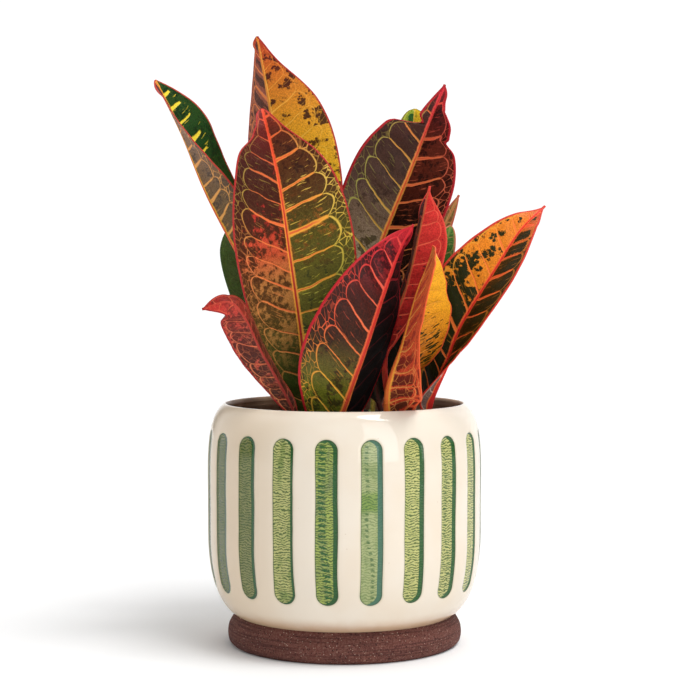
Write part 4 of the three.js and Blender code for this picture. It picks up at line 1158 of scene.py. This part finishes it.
def blade_mesh(name, shape, colours, plant):
    """A leaf with its stalk: two faces, a rib below, and blades that swell between the veins."""
    t, s, blade_share = leaf_rows(shape, plant.rows)
    middle, tangent = spine_at(spine_points(shape), t)
    cross, face = blade_directions(shape, tangent, s)
    steps = (np.arange(plant.columns + 1) / plant.columns) ** 1.2
    u = np.concatenate([-steps[:0:-1], steps])[None, :]
    along_mm = np.concatenate([[0], np.cumsum(np.linalg.norm(np.diff(middle, axis=0), axis=1))])
    along_mm = (along_mm - along_mm[STALK_ROWS])[:, None]
    across, lift, width = blade_section(shape, colours, plant, s, u, along_mm)
    aside = np.interp(u, ACROSS_BLADE, np.linspace(-1, 1, len(ACROSS_BLADE)))
    across = PETIOLE_RADIUS * aside * (1 - blade_share) + across * blade_share
    rod = PETIOLE_EDGE + (PETIOLE_RADIUS - PETIOLE_EDGE) * np.sqrt(np.clip(1 - aside ** 2, 0, 1))
    thin = BLADE_HALF_THICKNESS * (1 - 0.4 * np.abs(u) ** 10) * (1 - 0.4 * s[:, None] ** 20)
    half_thick = rod * (1 - blade_share) + thin * blade_share
    surface = middle[:, None] + cross[:, None] * across[..., None]
    surface = surface + face[:, None] * (lift * blade_share)[..., None]
    normal = np.cross(np.gradient(surface, axis=1), np.gradient(surface, axis=0))
    normal /= np.linalg.norm(normal, axis=2, keepdims=True)
    across_mm = width * np.abs(u)
    ridge = np.exp(-(across_mm / RIB_HALF_WIDTH) ** 2) * blade_share * (1 - s[:, None])
    top = surface + normal * (half_thick + UPPER_RIB_HEIGHT * ridge)[..., None]
    under = surface - normal * (half_thick + RIB_HEIGHT * ridge)[..., None]
    rows, columns = across.shape
    faces = sheet_quads(rows, columns)
    mesh = smooth_mesh(name, np.concatenate([top.reshape(-1, 3), under.reshape(-1, 3)]) * MM, faces.tolist())
    upper_count = (rows - 1) * (columns - 1)
    which = np.zeros(len(faces), np.int32)
    which[upper_count:2 * upper_count] = 1
    mesh.polygons.foreach_set("material_index", which)

    def on_both(values):
        return np.tile(np.broadcast_to(values, (rows, columns)).ravel(), 2)

    on_top = np.repeat([1, 0], rows * columns)
    for label, places in (("blade_mm", (on_both(across_mm * np.sign(u)), on_both(along_mm), on_both(width))),
                          ("blade_share", (on_both(u), on_both(s[:, None]), on_top))):
        attribute = mesh.attributes.new(label, "FLOAT_VECTOR", "POINT")
        attribute.data.foreach_set("vector", np.stack(places, -1).astype(np.float32).ravel())
    mesh.validate()
    return mesh


def curved(start, control_a, control_b, end, steps):
    t = np.linspace(0, 1, steps + 1)[:, None]
    parts = (start, control_a, control_b, end)
    weights = ((1 - t) ** 3, 3 * t * (1 - t) ** 2, 3 * t * t * (1 - t), t ** 3)
    return [tuple(point) for point in sum(w * np.array(p, float) for w, p in zip(weights, parts))]


def straight(start, end, steps):
    return [tuple(point) for point in np.linspace(start, end, steps + 1)]


def glazed_outline():
    """Radius and height from under the body, up the outer wall, over the lip and down inside, and the
    number of the point where the inner wall begins."""
    belly = OUTER_BELLY_RADIUS
    inner_belly = INNER_BELLY_RADIUS
    foot = FOOT_RECESS_RADIUS
    outer = [*straight((0, 10.5), (foot, 10.5), 8), (foot, 13.5), (foot, NECK_HEIGHT - 0.2),
             *curved((NECK_RADIUS, NECK_HEIGHT), (68.5, 21.5), (belly, 35), (belly, 62), 48),
             *straight((belly, 63.1), (belly, 78.9), 14),
             *curved((belly, 80), (belly, 100), (76.5, 124.5), (66, POT_HEIGHT), 52)]
    lip = [(65.2, POT_HEIGHT), (64.6, 131.1), (64.2, 130.2)]
    inner = [*curved((64.2, 129.4), (65, 120), (inner_belly, 118), (inner_belly, 95), 20),
             *straight((inner_belly, 90), (inner_belly, 56), 7),
             *curved((inner_belly, 52), (inner_belly, 32), (60, 17), (46, FLOOR_HEIGHT), 18),
             *straight((42, FLOOR_HEIGHT), (0, FLOOR_HEIGHT), 6)]
    return outer + lip + inner, len(outer) + 1


def foot_outline():
    recess = FOOT_RECESS_RADIUS + 0.2
    return [*straight((0, 0), (61.2, 0), 8), (61.9, 0.35), (62.9, 1.3), (63.6, 2.2), (63.95, 3.6),
            (64.2, 5.6), (64.15, 7.4), (63.9, 9.2), (63.5, 10.6), (62.9, 11.7), (62, 13.2), (61.1, 15),
            (NECK_RADIUS, NECK_HEIGHT), (NECK_RADIUS - 1, NECK_HEIGHT), (recess, NECK_HEIGHT),
            (recess, 10.3), *straight((50, 10.3), (0, 10.3), 6)]


def grow_radius(height):
    share = (height - GROW_FOOT) / (GROW_RIM_HEIGHT - GROW_FOOT)
    return GROW_BASE_RADIUS + (GROW_RIM_RADIUS - GROW_BASE_RADIUS) * share


def grow_outline():
    lip_foot = GROW_RIM_HEIGHT - GROW_LIP_HEIGHT
    rim = GROW_RIM_RADIUS + GROW_LIP_WIDTH
    floor = GROW_FOOT + GROW_WALL
    inner_rim = GROW_RIM_RADIUS - GROW_WALL
    outer = [*straight((0, GROW_FOOT), (GROW_BASE_RADIUS - 0.8, GROW_FOOT), 6),
             (GROW_BASE_RADIUS, GROW_FOOT + 0.8),
             *straight((grow_radius(GROW_FOOT + 3), GROW_FOOT + 3), (grow_radius(lip_foot), lip_foot), 30),
             (rim - 0.4, lip_foot), (rim, lip_foot + 0.4), (rim, GROW_RIM_HEIGHT - 0.5),
             (rim - 0.5, GROW_RIM_HEIGHT), (inner_rim + 0.4, GROW_RIM_HEIGHT)]
    inner = [*straight((inner_rim, GROW_RIM_HEIGHT - 0.4), (GROW_BASE_RADIUS - GROW_WALL, floor), 24),
             *straight((36, floor), (0, floor), 5)]
    return outer + inner


def soil_radius(height):
    return grow_radius(height) - GROW_WALL - 2 * SEAT_GAP


def soil_outline():
    floor = FLOOR_HEIGHT + GROW_WALL + 2 * SEAT_GAP
    edge = soil_radius(SOIL_TOP)
    crown = [(edge * (1 - k), SOIL_TOP + SOIL_CROWN * (1 - (1 - k) ** 2)) for k in np.linspace(0.02, 1, 46)]
    return [*straight((0, floor), (soil_radius(floor), floor), 6),
            *straight((soil_radius(floor + 4), floor + 4), (edge, SOIL_TOP), 16), *crown]


def stem_mesh(name, number, x, y, top):
    """A fluted stem with rings of leaf scars, closed below and by a bud above."""
    around = np.linspace(0, FULL_TURN, 33)[:-1]
    shoulder = top - BUD_HEIGHT
    body = np.linspace(STEM_FOOT, shoulder, 90)
    rounding = np.minimum(1, 0.8 + 0.2 * (body - STEM_FOOT) / 6)
    scars = 0.09 * np.cos(FULL_TURN * (body + 3 * number) / SCAR_SPACING) ** 8
    bud_share = np.linspace(0.08, 1, 16)
    heights = np.concatenate([body, shoulder + BUD_HEIGHT * bud_share])
    radii = STEM_RADIUS * np.concatenate([rounding * (0.9 + scars), 0.88 * (1 - bud_share ** 1.7) + 0.06])
    rings = []
    for height, radius in zip(heights, radii):
        bud = max(0, (height - shoulder) / BUD_HEIGHT)
        flutes = 1 + 0.05 * np.cos(3 * around + height * 0.4) * (1 - bud)
        flutes = flutes - 0.12 * bud * (1 - bud) * 4 * np.cos(2.5 * around + bud * 3) ** 2
        reach = radius * flutes
        rings.append(np.stack([x + reach * np.cos(around), y + reach * np.sin(around),
                               np.full(len(around), height)], -1))
    points = np.concatenate(rings + [[[x, y, STEM_FOOT]], [[x, y, top]]]) * MM
    count = len(around)
    last = len(rings) - 1
    foot = len(points) - 2
    tip = len(points) - 1
    faces = [(i * count + j, i * count + (j + 1) % count, (i + 1) * count + (j + 1) % count,
              (i + 1) * count + j) for i in range(last) for j in range(count)]
    faces += [(foot, (j + 1) % count, j) for j in range(count)]
    faces += [(tip, last * count + j, last * count + (j + 1) % count) for j in range(count)]
    return smooth_mesh(name, points, faces)


def lump(mesh):
    """Makes the compost's top uneven, with waves of many lengths and directions."""
    points = np.zeros(len(mesh.vertices) * 3)
    mesh.vertices.foreach_get("co", points)
    points = points.reshape(-1, 3) / MM
    edge = soil_radius(SOIL_TOP)
    radius = np.hypot(points[:, 0], points[:, 1])
    on_top = (points[:, 2] > SOIL_TOP - 0.1) & (radius < edge - 0.5)
    lumps = np.zeros(len(points))
    random = np.random.default_rng(LUMP_SEED)
    for _ in range(LUMP_WAVES):
        direction = random.uniform(0, FULL_TURN)
        length = random.uniform(4, 16)
        wave = points[:, 0] * math.cos(direction) + points[:, 1] * math.sin(direction)
        lumps += np.sin(FULL_TURN * wave / length + random.uniform(0, 6.28)) * length / 16
    lumps = np.clip(lumps * 0.12, -1.6, 1.6) * np.clip((edge - radius) / 6, 0, 1)
    points[:, 2] += np.where(on_top, lumps, 0)
    mesh.vertices.foreach_set("co", (points * MM).ravel())
    mesh.update()


# Geometry nodes


def geometry_tree(name, inputs):
    tree = bpy.data.node_groups.new(name, "GeometryNodeTree")
    tree.interface.new_socket("Geometry", in_out="INPUT", socket_type="NodeSocketGeometry")
    for label, kind in inputs.items():
        tree.interface.new_socket(label, in_out="INPUT", socket_type=f"NodeSocket{kind}")
    tree.interface.new_socket("Geometry", in_out="OUTPUT", socket_type="NodeSocketGeometry")
    nodes = Nodes(tree)
    return tree, nodes, nodes.named(nodes.add("NodeGroupInput"))


def finish_tree(nodes, geometry, *coats):
    """Ends a tree in Realize Instances and a Set Material for each selection and its material."""
    result = nodes.value("GeometryNodeRealizeInstances", {"Geometry": geometry})
    for selection, material in coats:
        result = nodes.value("GeometryNodeSetMaterial", {"Geometry": result, "Selection": selection,
                                                         "Material": material})
    nodes.add("NodeGroupOutput", {"Geometry": result})


def turned_tree():
    """Turns an outline about +Z into a closed form, with a second material from a given outline point on."""
    tree, n, given = geometry_tree("Turned outline", {"Facets": "Int", "Inner From": "Int",
                                                      "Outer": "Material", "Inner": "Material"})
    position = n.value("GeometryNodeInputPosition")
    points = n.value("GeometryNodeAttributeDomainSize", {"Geometry": given["Geometry"]}, "Point Count")
    grid = n.value("GeometryNodeMeshGrid", {"Size X": 1.0, "Size Y": 1.0, "Vertices X": given["Facets"] + 1,
                                            "Vertices Y": points}, "Mesh")
    x, y, _ = n.split(position)
    step = n.math("ROUND", (y + 0.5) * (points - 1))
    marked = n.add("GeometryNodeCaptureAttribute", {"Geometry": grid}, domain="FACE")
    marked.capture_items.new("BOOLEAN", "Inner")
    n.feed(marked.inputs["Inner"], step > given["Inner From"] - 0.5)
    marked = n.named(marked)
    sample = n.add("GeometryNodeSampleIndex", data_type="FLOAT_VECTOR", domain="POINT")
    for key, value in (("Geometry", given["Geometry"]), ("Value", position), ("Index", step)):
        n.feed(sample.inputs[key], value)
    radius, _, height = n.split(Value(n, sample.outputs[0]))
    angle = (x + 0.5) * FULL_TURN
    place = n.xyz(radius * n.math("COSINE", angle), radius * n.sine(angle), height)
    formed = n.value("GeometryNodeSetPosition", {"Geometry": marked["Geometry"], "Position": place})
    closed = n.value("GeometryNodeMergeByDistance", {"Geometry": formed, "Distance": SEAM_TOLERANCE * MM})
    smooth = n.value("GeometryNodeSetShadeSmooth", {"Geometry": closed})
    finish_tree(n, smooth, (None, given["Outer"]), (marked["Inner"], given["Inner"]))
    return tree


def stripe_tree():
    """Presses evenly spaced stripes with round ends into the outer wall."""
    tree, n, given = geometry_tree("Pressed stripes", {"Stripes": "Int", "Width": "Float", "Depth": "Float",
                                                       "Outer": "Material"})
    position = n.value("GeometryNodeInputPosition")
    distance, _, _ = stripe_field(n, n.scaled(position, 1 / MM), given["Stripes"], given["Width"] / MM)
    depth = n.smooth(distance, -1.1, 0.5, 1, 0) * given["Depth"]
    x, y, _ = n.split(position)
    outward = n.vector("NORMALIZE", n.xyz(x, y))
    pressed = n.value("GeometryNodeSetPosition", {"Geometry": given["Geometry"],
                                                  "Offset": n.scaled(outward, depth * -1)})
    is_outer = n.value("GeometryNodeInputMaterialIndex") < 0.5
    finish_tree(n, pressed, (is_outer, given["Outer"]))
    return tree


def crumb_tree():
    """Scatters small broken crumbs over the upward faces of the compost."""
    tree, n, given = geometry_tree("Compost crumbs", {"Per Area": "Float", "Size": "Float", "Seed": "Int",
                                                      "Crumb": "Material"})
    _, _, up = n.split(n.value("GeometryNodeInputNormal"))
    points = n.value("GeometryNodeDistributePointsOnFaces", {
        "Mesh": given["Geometry"], "Selection": up > 0.8, "Density": given["Per Area"],
        "Seed": given["Seed"]})
    position = n.value("GeometryNodeInputPosition")
    ball = n.value("GeometryNodeMeshIcoSphere", {"Radius": given["Size"], "Subdivisions": 2}, "Mesh")
    bumpy = n.scaled(position, (n.noise(position, 420.0, 1) - 0.5) * 2.2)
    chip = n.value("GeometryNodeSetPosition", {"Geometry": ball, "Offset": bumpy})
    spin, scale = (n.value("FunctionNodeRandomValue", {"Min": low, "Max": high}, data_type="FLOAT_VECTOR")
                   for low, high in (((0, 0, 0), (6.28, 6.28, 6.28)), ((0.5, 0.4, 0.35), (1.9, 1.1, 0.9))))
    placed = n.value("GeometryNodeInstanceOnPoints", {"Points": points, "Instance": chip, "Rotation": spin,
                                                      "Scale": scale})
    finish_tree(n, placed, (None, given["Crumb"]))
    return tree


def run_tree(source, tree, name, values):
    """Gives the result of a geometry tree on a piece as a plain mesh piece of its own."""
    modifier = source.modifiers.new(tree.name, "NODES")
    modifier.node_group = tree
    for item in tree.interface.items_tree:
        if item.in_out == "INPUT" and item.name in values:
            modifier[item.identifier] = values[item.name]
    graph = bpy.context.evaluated_depsgraph_get()
    mesh = bpy.data.meshes.new_from_object(source.evaluated_get(graph), preserve_all_data_layers=True,
                                           depsgraph=graph)
    source.modifiers.remove(modifier)
    mesh.name = name
    return place_object(name, mesh)


def turned_piece(name, outline, facets, outer, inner=None, inner_from=None):
    """An outline turned about +Z, in the outer material up to the outline's point inner_from."""
    mesh = bpy.data.meshes.new(f"{name}_outline")
    mesh.from_pydata([(radius * MM, 0, height * MM) for radius, height in outline],
                     [(i, i + 1) for i in range(len(outline) - 1)], [])
    source = place_object(mesh.name, mesh)
    tree = bpy.data.node_groups.get("Turned outline") or turned_tree()
    piece = run_tree(source, tree, name, {"Facets": facets, "Inner From": inner_from or len(outline),
                                          "Outer": outer, "Inner": inner or outer})
    bpy.data.objects.remove(source)
    return piece


# Operators


class CROTON_OT_pot(bpy.types.Operator):
    """Build the glazed pot with its pressed stripes, and its clay foot."""

    bl_idname = "croton.pot"
    bl_label = "Pot"

    def execute(self, context):
        pot = context.scene.croton_pot
        glaze = glaze_material(pot)
        clay = clay_material(pot)
        outline, inner_from = glazed_outline()
        plain = turned_piece("pot_plain", outline, pot.facets, glaze, inner_glaze_material(pot), inner_from)
        body = run_tree(plain, stripe_tree(), "pot_glazed_body", {
            "Stripes": pot.stripes, "Width": pot.stripe_width, "Depth": pot.stripe_depth, "Outer": glaze})
        settle(body, "glaze", "pot")
        foot = turned_piece("pot_clay_foot", foot_outline(), pot.facets // 2, clay)
        settle(foot, "bare_clay", "pot")
        bpy.data.objects.remove(plain)
        return {"FINISHED"}


class CROTON_OT_grow_pot(bpy.types.Operator):
    """Build the plastic grow pot with its rim and drain holes."""

    bl_idname = "croton.grow_pot"
    bl_label = "Grow pot"

    def execute(self, context):
        plastic = plastic_material(context.scene.croton_plant)
        shell = turned_piece("grow_shell", grow_outline(), context.scene.croton_pot.facets // 3, plastic)
        for i in range(DRAIN_HOLES):
            angle = FULL_TURN * i / DRAIN_HOLES
            place = (DRAIN_HOLE_RING * math.cos(angle), DRAIN_HOLE_RING * math.sin(angle), GROW_FOOT)
            bpy.ops.mesh.primitive_cylinder_add(vertices=28, radius=DRAIN_HOLE_RADIUS * MM,
                                                depth=8 * GROW_WALL * MM,
                                                location=[value * MM for value in place])
            cut = shell.modifiers.new("Drain hole", "BOOLEAN")
            cut.operation = "DIFFERENCE"
            cut.object = context.object
            cut.solver = "EXACT"
        graph = context.evaluated_depsgraph_get()
        mesh = bpy.data.meshes.new_from_object(shell.evaluated_get(graph), depsgraph=graph)
        mesh.materials.clear()
        mesh.polygons.foreach_set("material_index", np.zeros(len(mesh.polygons), np.int32))
        settle(new_piece("grow_pot_shell", mesh, [plastic]), "black_plastic", "grow_pot")
        for cutter in [cut.object for cut in shell.modifiers]:
            bpy.data.objects.remove(cutter)
        bpy.data.objects.remove(shell)
        return {"FINISHED"}


class CROTON_OT_compost(bpy.types.Operator):
    """Build the compost with its uneven top, its crumbs and its pale grains."""

    bl_idname = "croton.compost"
    bl_label = "Compost"

    def execute(self, context):
        plant = context.scene.croton_plant
        body = turned_piece("compost_body", soil_outline(), SOIL_FACETS, compost_material(plant))
        lump(body.data)
        settle(body, "compost", "compost")
        crumbs = crumb_tree()
        bark = crumb_material("bark_crumbs", (116, 82, 56), (44, 31, 24))
        grains = crumb_material("pale_grains", (226, 220, 208), (170, 158, 142))
        per_area = plant.crumbs * SQUARE_CM_IN_SQUARE_M
        for name, density, size, seed, material in (("compost_crumbs", per_area, 1.1, 3, bark),
                                                    ("compost_chips", per_area / 9, 2.2, 11, bark),
                                                    ("compost_grains", per_area / 16, 0.9, 7, grains)):
            piece = run_tree(body, crumbs, name, {"Per Area": density, "Size": size * MM, "Seed": seed,
                                                  "Crumb": material})
            settle(piece, "compost", "compost")
        return {"FINISHED"}


class CROTON_OT_stems(bpy.types.Operator):
    """Build the woody stems with their leaf scars and buds."""

    bl_idname = "croton.stems"
    bl_label = "Stems"

    def execute(self, context):
        bark = bark_material(context.scene.croton_plant)
        for number, (place, (x, y, top)) in enumerate(STEMS.items()):
            name = f"stem_{place}_bark"
            piece = new_piece(name, stem_mesh(name, number, x, y, top), [bark])
            settle(piece, "bark", f"stem_{place}")
        return {"FINISHED"}


class CROTON_OT_leaves(bpy.types.Operator):
    """Build the leaves, each with its own veins, blotches and margins."""

    bl_idname = "croton.leaves"
    bl_label = "Leaves"

    def execute(self, context):
        plant = context.scene.croton_plant
        group = blade_pattern()
        for name, shape in LEAVES.items():
            colours = LOOKS[name]
            upper = blade_material(f"{name}_upper", colours, (colours["left"], colours["right"]), group,
                                   plant.roughness)
            lower = blade_material(f"{name}_under", colours, (colours["under"], colours["under"]), group,
                                   plant.roughness + UNDER_ROUGHER, under=True)
            mesh = blade_mesh(f"blade_{name}", shape, colours, plant)
            settle(new_piece(f"blade_{name}", mesh, [upper, lower]), colours["slot"], f"leaf_{name}")
        return {"FINISHED"}


def pale_floor(stage):
    material, nodes = new_material("backdrop_paper")
    shader = nodes.value("ShaderNodeBsdfPrincipled", {"Base Color": stage.backdrop, "Roughness": 0.9,
                                                      "Specular IOR Level": 0.1})
    nodes.add("ShaderNodeOutputMaterial", {"Surface": shader})
    reach = stage.floor_reach
    mesh = bpy.data.meshes.new("floor")
    mesh.from_pydata([(-reach, -reach, 0), (reach, -reach, 0), (reach, reach, 0), (-reach, reach, 0)], [],
                     [(0, 1, 2, 3)])
    new_piece("floor", mesh, [material])


def soft_sky(stage):
    world = bpy.data.worlds.new("soft_sky")
    world.use_nodes = True
    world.node_tree.nodes.clear()
    sky = Nodes(world.node_tree)
    side, back, up = sky.split(sky.value("ShaderNodeTexCoord", output="Generated"))
    toward = back + up * 0.5
    behind = sky.smooth(toward, -0.08, 0.45, 0, stage.back_sky)
    # Dark cards stand behind on the left and on the right, and shade the pot's edges.
    for place, least in DARK_CARDS:
        behind = behind * sky.smooth(abs(side - place), 0, 0.25, least, 1)
    bright = sky.smooth(toward, -0.8, -0.2, stage.front_sky, 0.1) + behind
    # Seen past the floor's far edge, the sky is as pale from every side.
    seen = sky.value("ShaderNodeLightPath", output="Is Camera Ray")
    bright = sky.blend(seen, bright, stage.back_sky)
    glow = sky.value("ShaderNodeBackground", {"Color": (1, 1, 1), "Strength": bright})
    sky.add("ShaderNodeOutputWorld", {"Surface": glow})
    return world


def place_lamp(lamp, at, aim):
    placed = place_object(lamp.name, lamp)
    placed.location = at
    x, y, z = np.array(aim) - np.array(at)
    placed.rotation_euler = (math.atan2(math.hypot(x, y), -z), 0, math.atan2(-x, y))


class CROTON_OT_stage(bpy.types.Operator):
    """Build the pale floor, the soft lights and the camera."""

    bl_idname = "croton.stage"
    bl_label = "Stage"

    def execute(self, context):
        stage = context.scene.croton_stage
        pale_floor(stage)
        context.scene.world = soft_sky(stage)
        key = bpy.data.lights.new("key_light", "SUN")
        key.energy = stage.key_strength
        key.angle = KEY_SPREAD
        place_lamp(key, KEY_PLACE, (0, 0, 0))
        softbox = bpy.data.lights.new("softbox", "AREA")
        softbox.shape = "RECTANGLE"
        softbox.size, softbox.size_y = SOFTBOX_SIZE
        softbox.energy = stage.softbox_power
        place_lamp(softbox, SOFTBOX_PLACE, (0, 0, SOFTBOX_PLACE[2]))
        view = bpy.data.cameras.new("camera")
        view.lens = stage.focal_length
        view.sensor_width = 36
        view.clip_start = 0.05
        view.clip_end = 20
        camera = place_object("camera", view)
        camera.location = stage.camera_place
        camera.rotation_euler = (math.pi / 2 - stage.camera_tilt, 0, 0)
        context.scene.camera = camera
        context.scene.view_settings.view_transform = "Standard"
        return {"FINISHED"}


OPERATORS = (CROTON_OT_pot, CROTON_OT_grow_pot, CROTON_OT_compost, CROTON_OT_stems, CROTON_OT_leaves,
             CROTON_OT_stage)


class CROTON_PT_panel(bpy.types.Panel):
    """Lists the pieces of the potted croton."""

    bl_idname = "CROTON_PT_panel"
    bl_label = "Potted croton"
    bl_space_type = "VIEW_3D"
    bl_region_type = "UI"
    bl_category = "Croton"

    def draw(self, context):
        for operator in OPERATORS:
            self.layout.operator(operator.bl_idname)
        for group in ("croton_pot", "croton_plant", "croton_stage"):
            settings = getattr(context.scene, group)
            box = self.layout.box()
            for name in settings.__annotations__:
                box.prop(settings, name)


SETTINGS = {"croton_pot": CrotonPotSettings, "croton_plant": CrotonPlantSettings,
            "croton_stage": CrotonStageSettings}


def register():
    for kind in (*SETTINGS.values(), *OPERATORS, CROTON_PT_panel):
        bpy.utils.register_class(kind)
    for name, kind in SETTINGS.items():
        setattr(bpy.types.Scene, name, PointerProperty(type=kind))


def unregister():
    for name in SETTINGS:
        delattr(bpy.types.Scene, name)
    for kind in (CROTON_PT_panel, *reversed(OPERATORS), *SETTINGS.values()):
        bpy.utils.unregister_class(kind)


def main():
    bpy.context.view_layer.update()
    register()
    bpy.ops.croton.pot()
    bpy.ops.croton.grow_pot()
    bpy.ops.croton.compost()
    bpy.ops.croton.stems()
    bpy.ops.croton.leaves()
    bpy.ops.croton.stage()


if __name__ == "__main__":
    main()
